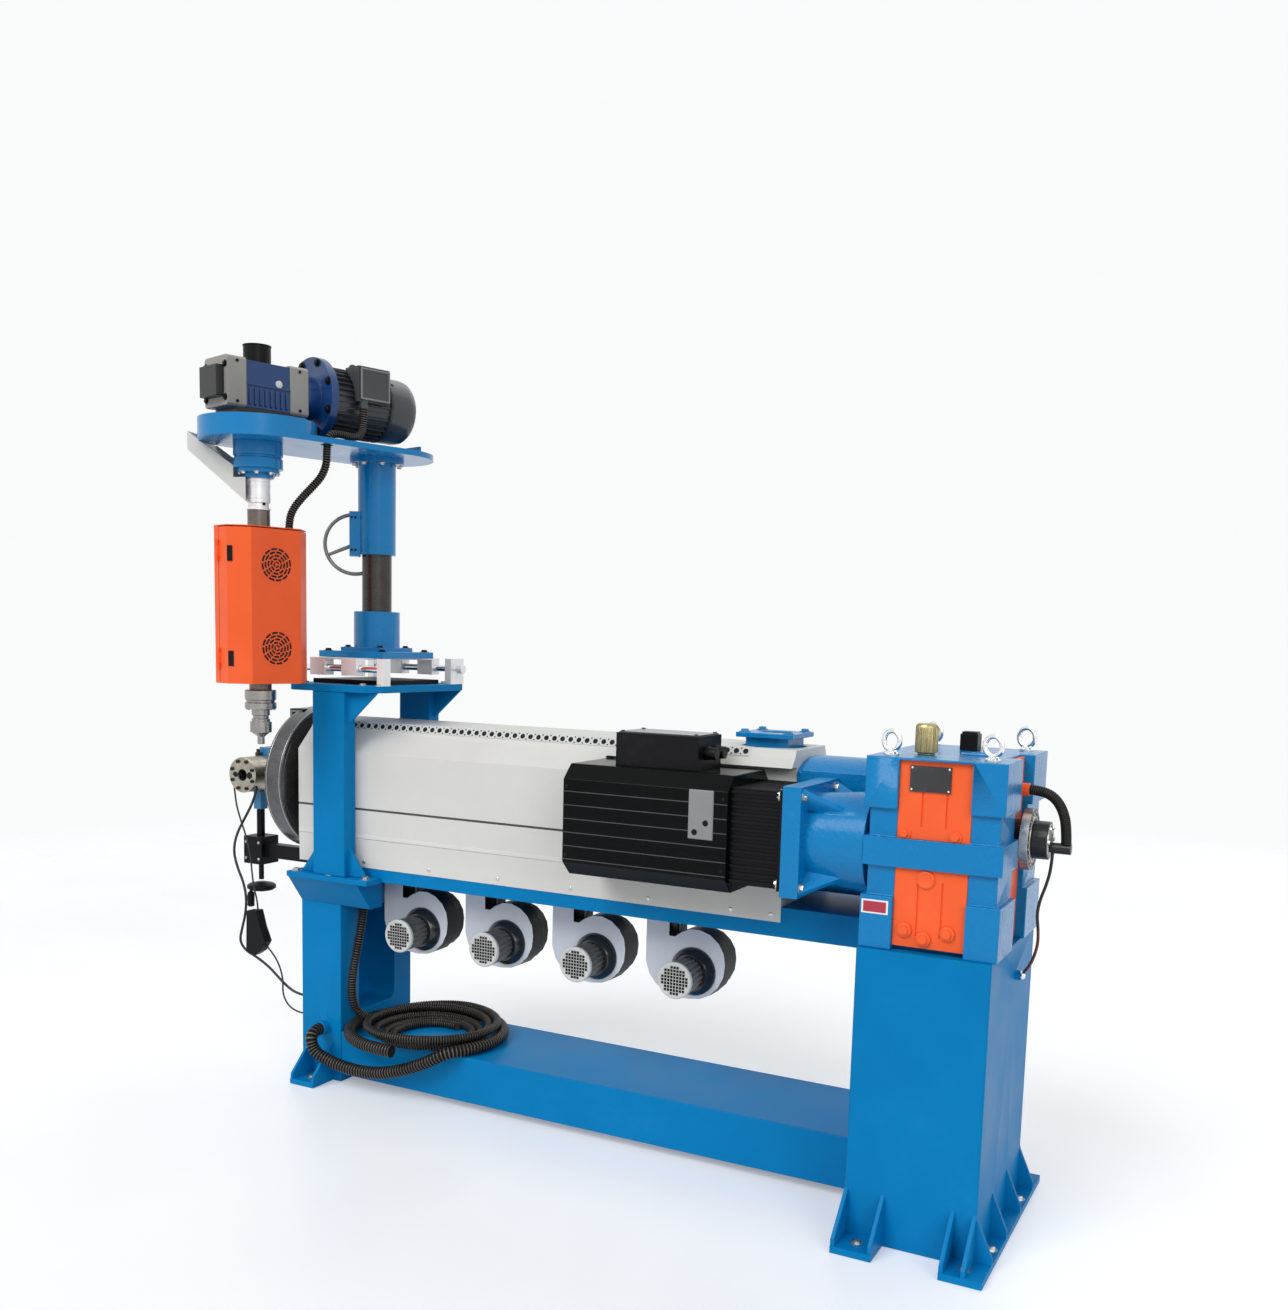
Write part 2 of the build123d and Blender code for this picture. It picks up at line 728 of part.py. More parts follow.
# Bearing housing, feed section, barrel, collar and nozzle of the injection extruder
house = rod_flat(tip_x, 0, house_low + house_step, arm_low, house_r)
house += rod_flat(tip_x, 0, house_low, house_low + house_step, house_r - house_step)
house += rod_flat(tip_x, 0, house_low - seal_high, house_low, bearing_seal_r)
save_arm("injector_bearing", house)
feed = rod_z(tip_x, 0, feed_low, house_low - seal_high, feed_r)
save_arm("injector_barrel", feed + rod_z(tip_x, 0, bar_low, feed_low, bar_r))
collar = rod_flat(tip_x, 0, collar_low, bar_low, collar_r)
band_top = nozzle_band_low + nozzle_band_high
nozzle = rod_flat(tip_x, 0, nozzle_band_low, collar_low, nozzle_r)
nozzle += Pos(tip_x, 0, (nozzle_low + nozzle_band_low) / 2) * Cone(nozzle_tip_r, nozzle_r - nozzle_tip_r / 4,
                                                                  nozzle_band_low - nozzle_low)
nozzle += rod_flat(tip_x, 0, nozzle_band_low, band_top, nozzle_band_r)
nozzle += collar
save_arm("injector_nozzle", nozzle)

# Feed chute: an open sheet-metal hopper that slopes down to the feed section
chute_place = Pos(tip_x, 0, 0) * Rot(0, 0, chute_turn)


def hopper(shrink, lift):
    """The chute as a wedge, drawn out along +X from the feed section."""
    w = chute_wide / 2 - shrink
    pts = [(feed_r / 2, chute_low + lift), (feed_r / 2, chute_low + chute_root + lift),
           (chute_out - shrink, chute_top + lift), (chute_out - shrink, chute_top - chute_end + lift)]
    return prism_y(pts, -w, w)


chute = hopper(0, 0) - hopper(chute_wall, chute_wall)
chute -= rod_z(0, 0, house_low - seal_high, arm_low, house_r + run_gap)
chute -= rod_z(0, 0, arm_low - chute_clear, chute_top + cut_over, arm_tip_r + chute_clear)
chute -= Pos(0, 0, (feed_low + house_low) / 2) * Cylinder(feed_r + run_gap / 2, house_low - feed_low + cut_over)
save_arm("feed_chute", chute_place * chute)

# Guard round the heated barrel: a fixed back shell and a hinged front door
gh = guard_long / 2


def guard_plan(grow, split, front):
    """Outline of one half of the guard, with chamfered corners."""
    c = guard_chamfer - grow * guard_inset_share
    d = guard_front if front else guard_back
    s = -1 if front else 1
    a, b = gh - grow, d - grow
    return [(-a, s * split), (-a, s * (b - c)), (-a + c, s * b), (a - c, s * b), (a, s * (b - c)),
            (a, s * split)]


def knuckle(z0, z1, side):
    """One hinge knuckle with its leaf on the back (side 1) or the door (side -1)."""
    ya, yb = sorted((side * hinge_r, side * door_gap / 2))
    return rod_z(-gh - hinge_r, 0, z0, z1, hinge_r) + span(-gh - hinge_r, -gh + guard_wall, ya, yb, z0, z1)


guard_top = guard_low + guard_high
hinge_heights = (guard_low + guard_high * hinge_share, guard_top - guard_high * hinge_share)
for front, name in ((False, "guard_back"), (True, "guard_door")):
    split = door_gap / 2
    shell = prism_z(guard_plan(0, split, front), guard_low, guard_top)
    inner = prism_z(guard_plan(guard_wall, -cut_over, front), guard_low + guard_wall, guard_top - guard_wall)
    shell -= inner
    lid_low = guard_top - guard_wall
    if front:
        shell -= prism_z(guard_plan(-cut_over, -cut_over, front), lid_low - door_gap, guard_top + cut_over)
    else:
        shell += prism_z(guard_plan(0, -door_gap, True), lid_low, guard_top)
    shell -= Cylinder(bar_r + run_gap + (door_gap if front else 0), guard_top + cut_over,
                      align=(Align.CENTER, Align.CENTER, Align.MIN))
    for h in hinge_heights:
        if front:
            shell += knuckle(h - hinge_long / 2, h + hinge_long / 2, -1)
        else:
            for a in (h - hinge_long / 2 - hinge_step - run_gap / 2, h + hinge_long / 2 + run_gap / 2):
                shell += knuckle(a, a + hinge_step, 1)
    save_arm(name, Pos(tip_x, 0, 0) * shell)

# Reducer: blue core, grey end caps, dark base and stepped end, with the hollow shaft cover on top
core_x0, core_x1 = tip_x - red_core_long / 2, tip_x + red_core_long / 2
rz0, rz1 = red_mid_h - red_high / 2, red_mid_h + red_high / 2
red_core = span(core_x0, core_x1, -red_wide / 2, red_wide / 2, rz0, rz1)
red_core += rod_z(tip_x, 0, rz1, rz1 + top_pipe_high, top_pipe_r)
save_arm("reducer_core", red_core)
caps = []
cw = red_wide / 2 + red_cap_grow / 2
for x0 in (core_x0 - red_cap_long, core_x1):
    c = span(x0, x0 + red_cap_long, -cw, cw, rz0 - red_cap_grow / 2, rz1 + red_cap_grow)
    caps.append(chamfer(c.edges().filter_by(Axis.X), red_cap_grow))
step_x1 = core_x0 - red_cap_long
st_w, st_h = red_step_half, red_high * red_step_share
caps.append(span(step_x1 - red_step_long, step_x1, -st_w, st_w, red_mid_h - st_h / 2,
                 red_mid_h + st_h / 2))
save_arm("reducer_caps", Compound(children=(caps[0] + caps[2], caps[1])))
foot = span(core_x0 - red_cap_long / 2, core_x1 + red_cap_long / 2, -red_wide / 2, red_wide / 2,
            rz0 - red_base_high + red_cap_grow / 2, rz0 - red_cap_grow / 2)
foot += span(core_x0, core_x1, -red_wide / 2, red_wide / 2, rz0 - red_cap_grow / 2, rz0)
foot += rod_z(tip_x, 0, arm_top, rz0 - red_base_high + red_cap_grow / 2, house_r)
save_arm("reducer_base", foot)

# Injector motor with its flange, fan cowl and terminal box
mf_x0 = core_x1 + red_cap_long + mneck_long
mflange = rod_x(mf_x0, mf_x0 + mflange_thick, 0, red_mid_h, mflange_r)
mflange += rod_x(core_x1 + red_cap_long, mf_x0, 0, red_mid_h, mneck_r)
save_arm("motor_flange", mflange)
im_x0 = mf_x0 + mflange_thick
im_x1 = im_x0 + imotor_long
imotor = rod_x(im_x0, im_x1, 0, red_mid_h, imotor_r)
imotor += rod_x(im_x1, im_x1 + icowl_long, 0, red_mid_h, icowl_r)
save_arm("injector_motor", imotor)
ib_x1 = ibox_x0 + ibox_long
ib_z0 = red_mid_h - ibox_low_drop
ib_z1 = ib_z0 + ibox_high
ibox = span(ibox_x0, ib_x1, -ibox_face + ibox_lid, -imotor_r / 2, ib_z0, ib_z1)
ibox += span(ibox_x0 + ibox_lid_inset, ib_x1 - ibox_lid_inset, -ibox_face, -ibox_face + ibox_lid,
             ib_z0 + ibox_lid_inset, ib_z1 - ibox_lid_inset)
ibox += rod_z(arm_gland_x, arm_gland_y, ib_z0 - arm_gland_long, ib_z0 + cut_over, arm_gland_r)
ibox -= rod_x(im_x0 - cut_over, im_x1, 0, red_mid_h, imotor_r)
save_arm("injector_terminal_box", ibox)

# Crosshead with its bores, the inlet block on top and the neck to the barrel
head = rod_y(-head_half, head_half, head_x, axis_h, head_r)
head -= rod_y(-head_half - cut_over, head_half + cut_over, head_x, axis_h, head_bore_r)
for s in (-1, 1):
    head -= rod_y(-head_half - cut_over, -head_half + head_face_deep, head_x + s * side_hole_off, axis_h,
                  side_hole_r)
neck_x1 = clamp_x0 - clamp_hub_long
head += rod_x(head_x, neck_x1, 0, axis_h, neck_r)
head -= rod_y(-head_half - cut_over, head_half + cut_over, head_x, axis_h, head_bore_r)
save("crosshead", head)
inlet = span(head_x - inlet_side / 2, head_x + inlet_side / 2, -inlet_side / 2, inlet_side / 2,
             inlet_low, inlet_top)
inlet -= rod_y(-head_half, head_half, head_x, axis_h, head_r)
inlet -= rod_z(head_x, 0, inlet_top - inlet_r, inlet_top + cut_over, inlet_r)
save("inlet_block", inlet)

# Head clamp: hub, plate and outer band that close the barrel end
clamp_x1 = cover_x0
hubc = rod_x(neck_x1, clamp_x0, 0, axis_h, clamp_hub_r)
disc = rod_x(clamp_x0, clamp_x0 + clamp_long, 0, axis_h, clamp_r - clamp_band)
tail = rod_x(clamp_x0 + clamp_long, clamp_x1, 0, axis_h, clamp_hub_r)
save("head_clamp", hubc + disc + tail)
ring = rod_x(clamp_x0 - clamp_band, clamp_x0 + clamp_long, 0, axis_h, clamp_r)
ring -= rod_x(clamp_x0 - clamp_band - cut_over, clamp_x0 + clamp_long + cut_over, 0, axis_h,
              clamp_r - clamp_band)
save("clamp_band", ring)
hb = span(hbox_x - hbox_long / 2, hbox_x + hbox_long / 2, hbox_y - hbox_wide / 2, hbox_y + hbox_wide / 2,
          hbox_low, hbox_low + hbox_high)
hb -= rod_x(neck_x1 - cut_over, clamp_x0, 0, axis_h, clamp_hub_r)
hb -= rod_x(clamp_x0 - clamp_band, clamp_x0 + clamp_long, 0, axis_h, clamp_r)
hb += span(hbox_x - clamp_arm_wide / 2, clamp_x0 - clamp_band, hbox_y - clamp_arm_wide / 2,
           hbox_y + clamp_arm_wide / 2, axis_h, hbox_low)
hb -= rod_x(neck_x1 - cut_over, clamp_x0, 0, axis_h, clamp_hub_r)
save("head_terminal_box", hb)

# Jack under the crosshead: block on an arm from the clamp, post with its screw, and handwheel
jack_top = axis_h - head_r - run_gap
jb_x1 = clamp_x0 + clamp_long / 2
jblock = span(head_x - jblock_side / 2, head_x + jblock_side / 2, jack_y - jblock_side / 2,
              jack_y + jblock_side / 2, jblock_low, jblock_low + jblock_high)
ja, jb = jack_y - jblock_reach / 2, jack_y + jblock_reach / 2
jblock += span(head_x, jb_x1, ja, jb, jblock_low + jblock_high / 4, jblock_low + jblock_high * 3 / 4)
jblock += span(jb_x1 - jblock_reach, jb_x1, ja, jb, jblock_low + jblock_high / 4, jblock_top)
jblock -= rod_x(clamp_x0 - clamp_band, clamp_x0 + clamp_long, 0, axis_h, clamp_r)
jblock -= rod_z(head_x, jack_y, jblock_low - cut_over, jblock_low + jblock_high + cut_over, jack_r + run_gap)
save("jack_block", jblock)
jack = rod_z(head_x, jack_y, jwheel_low + jwheel_high + screw_r, jack_top, screw_r)
jack += rod_z(head_x, jack_y, jblock_low + jblock_high / 4, jack_top, jack_r)
jack += span(head_x - jack_tag / 2, head_x + jack_tag / 2, jack_y - jack_tag / 2, jack_y + jack_tag / 2,
             jack_top - jack_tag_high, jack_top)
save("jack_post", jack)
jwheel = rod_z(head_x, jack_y, jwheel_low, jwheel_low + jwheel_high, jwheel_r)
jwheel = chamfer(jwheel.edges(), jwheel_high / 4)
jwheel += rod_z(head_x, jack_y, jwheel_low + jwheel_high, jwheel_low + jwheel_high + screw_r - run_gap / 2,
                jhub_r)
jwheel += rod_z(head_x - jgrip_off, jack_y - jgrip_off, jwheel_low + jwheel_high / 2 - jgrip_long,
                jwheel_low + jwheel_high / 2, jgrip_r)
save("jack_handwheel", jwheel)

# Thrust housing, seal ring and feed throat
gear_x0 = -rear_len / 2
thrust = rod_x(thrust_x0 + seal_long, gear_x0, 0, axis_h, thrust_r)
thrust -= span(thrust_x0, gear_x0 + cut_over, motor_y - thrust_r, nest_y, 0, axis_h * 2)
thrust -= span(thrust_x0, gear_x0 + cut_over, -thrust_r - cut_over, thrust_r + cut_over, 0, bed_top)
seal = rod_x(thrust_x0, thrust_x0 + seal_long, 0, axis_h, seal_r)
seal -= span(thrust_x0 - cut_over, gear_x0, motor_y - thrust_r, nest_y, 0, axis_h * 2)
seal -= span(thrust_x0 - cut_over, gear_x0, -thrust_r, thrust_r, 0, bed_top)
save("thrust_housing", thrust + seal)
throat = span(throat_x - throat_side / 2, throat_x + throat_side / 2, -throat_side / 2, throat_side / 2,
              strip_low, throat_top - throat_flange_thick)
throat += span(throat_x - throat_flange / 2, throat_x + throat_flange / 2, -throat_flange / 2,
               throat_flange / 2, throat_top - throat_flange_thick, throat_top)
throat -= rod_z(throat_x, 0, throat_top - throat_bore_deep, throat_top + cut_over, throat_bore_r)
save("feed_throat", throat)

# Gearbox: a shell with thicker ends, a raised waist band and recessed windows
gy0, gy1 = -gear_off - gear_wide / 2, -gear_off + gear_wide / 2
gx0, gx1 = gear_x0, gear_x0 + gear_long
g_top = gear_low + gear_high
gear = span(gx0 + corner_step, gx1 - corner_step, gy0 + corner_step, gy1 - corner_step, gear_low, g_top)
gear += span(gx0, gx1, gy0, gy1, corner_up_low, g_top)
gear += span(gx0, gx1, gy0, gy1, gear_low, corner_low_top)
gear += span(gx0, gx1, gy0, gy1, band_low, band_low + band_high)
win = gear_long * gear_window_share / 2
mid_x = (gx0 + gx1) / 2
for y0, y1 in ((gy0 - cut_over, gy0 + gear_recess_side + corner_step),
               (gy1 - gear_recess_side - corner_step, gy1 + cut_over)):
    for z0, z1 in ((gear_low - cut_over, band_low), (band_low + band_high, g_top - gear_lid)):
        gear -= span(mid_x - win, mid_x + win, y0, y1, z0, z1)
end_win = gear_wide * gear_end_window_share / 2
gear -= span(gx1 - gear_end_recess - corner_step, gx1 + cut_over, -gear_off - end_win,
             -gear_off + end_win, gear_low - cut_over, g_top + cut_over)
save("gearbox_housing", gear)
core = []
for y0, y1 in ((gy0 + corner_step, gy0 + gear_recess_side + corner_step),
               (gy1 - gear_recess_side - corner_step, gy1 - corner_step)):
    for z0, z1 in ((gear_low + corner_step, band_low), (band_low + band_high, g_top - gear_lid)):
        panel = span(mid_x - win, mid_x + win, y0, y1, z0, z1)
        for gx in (-1, 1):
            g0 = mid_x + gx * win / 3 - core_groove / 2
            for ya, yb in ((y0 - cut_over, y0 + core_groove), (y1 - core_groove, y1 + cut_over)):
                panel -= span(g0, g0 + core_groove, ya, yb, z0 + core_edge, z1 - core_edge)
        core.append(panel)
strip_end = span(gx1 - gear_end_recess - corner_step, gx1 - gear_end_recess, -gear_off - end_win,
                 -gear_off + end_win, gear_low, g_top - gear_lid)
strip_end += rod_x(gx1 - gear_end_recess - cut_over, gx1 + hose_fitting_long, encoder_y, hose_fitting_h,
                   hose_fitting_r)
core.append(strip_end)
save("gearbox_core", Compound(children=core))
eyes = []
for ex in (gx0 + eye_inset, gx1 - eye_inset):
    for ey in (gy0 + eye_inset, gy1 - eye_inset):
        e = rod_flat(ex, ey, g_top, g_top + eye_stem, eye_stem_r, slender_sides)
        e += Pos(ex, ey, g_top + eye_stem + eye_r) * ring_y(eye_r, eye_wire)
        eyes.append(e)
save("lifting_eyes", Compound(children=eyes))
cap_x, cap_y = gx0 + gear_long / 3, gy0 + gear_wide / 4
bx, by = mid_x, -gear_off + gear_wide / 5
fill = rod_z(cap_x, cap_y, g_top, g_top + cap_high, cap_r)
breather = span(bx - breather_side / 2, bx + breather_side / 2, by - breather_side / 2,
                by + breather_side / 2, g_top, g_top + breather_high)
save("filler_and_breather", Compound(children=(fill, breather)))
enc_x0 = gx1 - gear_end_recess
enc = rod_x(enc_x0, gx1 + encoder_rim, encoder_y, encoder_h, encoder_core_r)
enc += rod_x(gx1, gx1 + encoder_rim, encoder_y, encoder_h, encoder_r)
enc += rod_x(gx1 + encoder_rim, gx1 + encoder_core, encoder_y, encoder_h, encoder_core_r)
enc += rod_x(gx1 + encoder_core - cut_over, gx1 + elbow_out, encoder_y, encoder_h - elbow_drop, elbow_r)
save("shaft_end_unit", enc)

# Drive motor: bell housing, finned body, ribbed hood and terminal box
bell_x1 = gear_x0
bell_x0 = body_x1
bell = span(bell_x0, bell_x0 + bell_flange_thick, motor_y - bell_flange_side / 2,
            motor_y + bell_flange_side / 2, axis_h - bell_flange_side / 2, axis_h + bell_flange_side / 2)
bell += Pos((bell_x0 + bell_flange_thick + bell_x1) / 2, motor_y, axis_h) * Rot(0, 90, 0) * Cone(
    bell_r0, bell_r1, bell_x1 - bell_x0 - bell_flange_thick)
rib_x0 = bell_x0 + bell_flange_thick
bell_rib = prism_y([(rib_x0, 0), (rib_x0, bell_rib_r), (rib_x0 + bell_rib_long, bell_r0), (rib_x0 + bell_rib_long, 0)],
                   -bell_rib_thick / 2, bell_rib_thick / 2)
for k in range(bell_ribs):
    bell += Pos(0, motor_y, axis_h) * Rot((k + 0.5) * 360 / bell_ribs, 0, 0) * bell_rib
save("bell_housing", bell)
save("drive_motor", span(hood_x1, body_x1, motor_y - motor_side / 2, motor_y + motor_side / 2,
                         axis_h - motor_side / 2, axis_h + motor_side / 2))
hood = span(hood_x0, hood_x1, motor_y - hood_wide / 2, motor_y + hood_wide / 2, axis_h - hood_high / 2,
            hood_top)
hood = chamfer(hood.edges().filter_by(Axis.X), hood_chamfer)
bp_x1 = hood_x1 - mbox_back
hood += span(bp_x1 - bracket_plate_long, bp_x1, motor_y - hood_wide / 2 - bracket_plate_thick,
             motor_y - hood_wide / 2, hood_top - hood_chamfer - bracket_plate_high,
             hood_top - hood_chamfer)
save("motor_hood", hood)
mb_x1 = mbox_x1
mb = span(mb_x1 - mbox_long, mb_x1, motor_y - mbox_wide / 2, motor_y + mbox_wide / 2, hood_top,
          hood_top + mbox_high)
for k in (-1, 1):
    mb += rod_x(mb_x1 - cut_over, mb_x1 + gland_long, motor_y + k * gland_off, hood_top + mbox_high / 2,
                gland_r)
save("motor_terminal_box", mb)

# Blowers under the bed: a snail-shaped volute with its duct, a stepped back, and a tapered motor with its cap
spiral = [(dx * volute_r, dz * volute_r) for dx, dz in volute_shares]
snail = [(-duct_in, rail_low - blower_h), (-duct_out, rail_low - blower_h), (-duct_out, spiral[1][0] + duct_out)]
snail += spiral + [(-duct_in, spiral[-1][1])]
back = [(dx * volute_back_share, dz * volute_back_share) for dx, dz in snail]
volutes, motors = [], []
for k in range(blower_count):
    x = blower_first + k * blower_pitch
    y1 = blower_y + volute_deep
    v = prism_y([(x + dx, blower_h + dz) for dx, dz in snail], blower_y, y1)
    v += prism_y([(x + dx, blower_h + dz) for dx, dz in back], y1, y1 + volute_back_deep)
    volutes.append(v)
    cap_y0 = blower_y - fan_motor_long
    taper = [Plane(origin=(x, y, blower_h), z_dir=(0, -1, 0)) * RegularPolygon(r, few_sides)
             for y, r in ((blower_y - fan_neck_long, fan_neck_r), (blower_y, fan_neck_r))]
    m = loft(taper)
    m += loft([Plane(origin=(x, y, blower_h), z_dir=(0, -1, 0)) * RegularPolygon(r, few_sides)
               for y, r in ((cap_y0, fan_cap_r), (blower_y - fan_neck_long, fan_motor_r))])
    m += loft([Plane(origin=(x, y, blower_h), z_dir=(0, -1, 0)) * RegularPolygon(fan_cap_r, few_sides)
               for y in (cap_y0 - fan_cap_long, cap_y0)])
    motors.append(m)
save("blowers", Compound(children=volutes))
save("blower_motors", Compound(children=motors))

# Free cords: each is an eight-sided tube of straight runs joined by arcs as large as the runs allow
cord_arc_share = 0.45


def cord_tube(name, points, wide, place=None):
    """Write one cord's tube and print its length, its radii and its volume against section times length."""
    v = [Vector(*p) for p in points]
    radii = []
    for a, b, c in zip(v, v[1:], v[2:]):
        turn = math.radians((b - a).get_angle(c - b))
        radii.append(cord_arc_share * min((b - a).length, (c - b).length) / math.tan(turn / 2))
    path = FilletPolyline(*points, radius=radii)
    section = Plane(origin=path @ 0, z_dir=path % 0) * RegularPolygon(wide / 2, slender_sides)
    tube = sweep(section, path=path)
    print(name, "length", round(path.length), "radii", [round(r) for r in radii],
          "volume share", round(tube.volume / (section.area * path.length), 3))
    save(name, place * tube if place else tube)


conduit_wide = 25.0
drop_wide = 27.0
loop_wide = 40.0
head_cable_wide = 9.0
lead_wide = 6.0
hose_wide = 26.0
wire_wide = 8.0

# From the gland of the injector motor's box over the arm, through its hole and down to the guard
conduit_points = [(-133, -118, 2202), (-134, -118, 2155), (-150, -126, 2115), (-192, -140, 2104),
                  (-236, -143, 2109), (-277, -142, 2104), (-284, -143, 2056), (-286, -145, 2012),
                  (-296, -133, 1974), (-312, -108, 1944), (-332, -84, 1913), (-351, -64, 1880),
                  (-360, -51, 1846), (-360, -50, 1813)]
cord_tube("conduit_arm", conduit_points, conduit_wide, arm_place)

# From under the bed down the front pedestal to the coil on the beam
drop_points = [(-1980, -86, 700), (-1981, -90, 600), (-1980, -116, 490), (-1981, -146, 390), (-1980, -160, 300),
               (-1974, -142, 235), (-1935, -98, 200)]
cord_tube("conduit_drop", drop_points, drop_wide)

# From the gland on the pedestal in a low sweep in front of the beam and up to the coil
loop_points = [(-2070, -214, 180), (-2070, -262, 180), (-2052, -266, 118), (-1985, -254, 90), (-1915, -249, 79),
               (-1835, -248, 79), (-1755, -249, 94), (-1680, -246, 120), (-1608, -240, 152), (-1545, -225, 190)]
cord_tube("conduit_loop", loop_points, loop_wide)

# The coil of both conduits that lies on the beam
coil_x, coil_y = -1710.0, -75.0
coil_r = 240.0
coil_hole_r = 135.0
coil_lean_x, coil_lean_y = -75.0, -35.0
coil_lean_r = 205.0
coil_high = 88.0
coil_gap = 0.3
coil_bevel = 18.0
coil_low = beam_low + beam_high + coil_gap
coil = rod_flat(coil_x, coil_y, coil_low, coil_low + coil_high, coil_r)
coil += rod_flat(coil_x + coil_lean_x, coil_y + coil_lean_y, coil_low, coil_low + coil_high, coil_lean_r)
coil = chamfer(coil.edges().group_by(Axis.Z)[-1] + coil.edges().group_by(Axis.Z)[0], coil_bevel)
coil -= rod_flat(coil_x, coil_y, coil_low - cut_over, coil_low + coil_high + cut_over, coil_hole_r)
save("cable_coil", coil)

# From under the crosshead to the front pedestal
head_cable_points = [(-2434, -116, 958), (-2453, -118, 905), (-2492, -118, 847), (-2532, -119, 785),
                     (-2549, -118, 725), (-2533, -117, 668), (-2503, -118, 617), (-2488, -119, 562),
                     (-2495, -118, 503), (-2512, -117, 450), (-2525, -118, 402), (-2495, -119, 370),
                     (-2442, -118, 353), (-2383, -117, 324), (-2331, -118, 286), (-2279, -118, 255),
                     (-2225, -116, 246), (-2169, -116, 246)]
cord_tube("head_cable", head_cable_points, head_cable_wide)

# From the crosshead to the plug that hangs below the jack, and from the plug to the pedestal
head_lead_points = [(-2530, -129, 962), (-2524, -130, 905), (-2502, -131, 845), (-2474, -130, 782),
                    (-2456, -129, 716), (-2450, -130, 655), (-2440, -131, 600), (-2426, -130, 560),
                    (-2424, -130, 526)]
cord_tube("head_lead", head_lead_points, lead_wide)
plug_lead_points = [(-2391, -130, 409), (-2352, -130, 379), (-2321, -131, 335), (-2310, -130, 290),
                    (-2314, -129, 248), (-2296, -130, 213), (-2262, -131, 193), (-2217, -130, 187),
                    (-2169, -128, 188)]
cord_tube("plug_lead", plug_lead_points, lead_wide)

# The plug: a flat housing that leans, with its latch end below
plug_x, plug_y, plug_low = -2430.0, -130.0, 366.0
plug_size = 92.0
plug_deep = 38.0
plug_shares = [(-0.35, 1.72), (0.15, 1.78), (0.35, 1.13), (0.59, 0.61), (0.33, 0.21), (0.02, 0), (-0.39, 0.11)]
plug = prism_y([(plug_x + dx * plug_size, plug_low + dz * plug_size) for dx, dz in plug_shares],
               plug_y - plug_deep / 2, plug_y + plug_deep / 2)
save("head_plug", plug)

# From the gearbox fitting to the elbow of the end unit, and from there to the clip on the pedestal
hose_points = [(182, -150, 1154), (216, -151, 1153), (246, -150, 1136), (265, -149, 1106), (275, -150, 1068),
               (277, -150, 1024)]
cord_tube("end_hose", hose_points, hose_wide)
wire_points = [(246, -150, 1001), (245, -150, 960), (235, -149, 915), (222, -150, 875), (218, -151, 840),
               (223, -149, 802), (224, -145, 764), (214, -138, 724), (199, -126, 692), (182, -112, 671)]
cord_tube("end_cable", wire_points, wire_wide)
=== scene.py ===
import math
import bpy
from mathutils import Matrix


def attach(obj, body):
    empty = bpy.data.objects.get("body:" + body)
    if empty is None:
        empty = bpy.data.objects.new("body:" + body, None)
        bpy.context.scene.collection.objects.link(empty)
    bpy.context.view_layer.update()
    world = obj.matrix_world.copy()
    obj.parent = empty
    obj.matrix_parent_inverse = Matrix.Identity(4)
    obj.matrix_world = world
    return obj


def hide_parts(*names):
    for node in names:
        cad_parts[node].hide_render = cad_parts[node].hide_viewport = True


bl_info = {
    "name": "Cable Extruder Dressing",
    "version": (1, 0, 0),
    "blender": (4, 5, 0),
    "location": "View3D > Sidebar > Extruder",
    "description": "Dresses the packed cable extruder with its surfaces, fittings, cords, light and camera",
    "category": "Object",
}

from itertools import product

import bmesh
import bpy
import numpy as np
from bpy.props import FloatProperty, FloatVectorProperty, IntProperty, PointerProperty
from mathutils import Matrix

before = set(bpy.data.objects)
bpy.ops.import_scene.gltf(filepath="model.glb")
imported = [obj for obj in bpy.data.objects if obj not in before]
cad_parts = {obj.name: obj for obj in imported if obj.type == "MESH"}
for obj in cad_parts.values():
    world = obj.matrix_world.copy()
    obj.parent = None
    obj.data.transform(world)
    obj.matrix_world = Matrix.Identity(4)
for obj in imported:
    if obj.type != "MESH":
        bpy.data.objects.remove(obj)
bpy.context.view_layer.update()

# Places in millimetres that the fittings follow: heights end in _H, and TIP_X is measured along the arm

MM = 0.001
AXIS_H = 1000.0
COLUMN_X = -2003.0
ARM_TURN = math.radians(74.0)
TIP_X = -435.0
REDUCER_H = 2228.0
HEAD_X, HEAD_HALF = -2483.0, 137.0
JACK_Y = -50.0
END_Y, END_H = -150.0, 1030.0
BLOWER_X, BLOWER_STEP, BLOWER_H = -1771.0, 332.0, 528.0
SUNK = 0.5  # how far a bolt's washer or a screw's head goes into what it holds
UP, DOWN, LEFT, RIGHT, FRONT, BACK = (0, 0, 1), (0, 0, -1), (-1, 0, 0), (1, 0, 0), (0, -1, 0), (0, 1, 0)

# Surfaces: every shape is drawn in millimetres, and turned to metres when its object is made


def rotation(axis, angle):
    """The 3 by 3 matrix that turns by angle about a unit axis."""
    return np.array(Matrix.Rotation(angle, 3, axis))


def turned_to(axis):
    """The 3 by 3 matrix whose third column is axis: it carries +Z onto axis."""
    z = np.asarray(axis, float)
    z = z / np.linalg.norm(z)
    ref = np.array((0.0, 0.0, 1.0)) if abs(z[2]) < 0.9 else np.array((1.0, 0.0, 0.0))
    x = np.cross(ref, z)
    x /= np.linalg.norm(x)
    return np.column_stack((x, np.cross(z, x), z))


def on_arm(points):
    """Points drawn with the arm along -X from the column, turned to the arm's heading at rest."""
    p = np.asarray(points, float).reshape(-1, 3)
    return p @ rotation(UP, ARM_TURN).T + np.array((COLUMN_X, 0, 0))


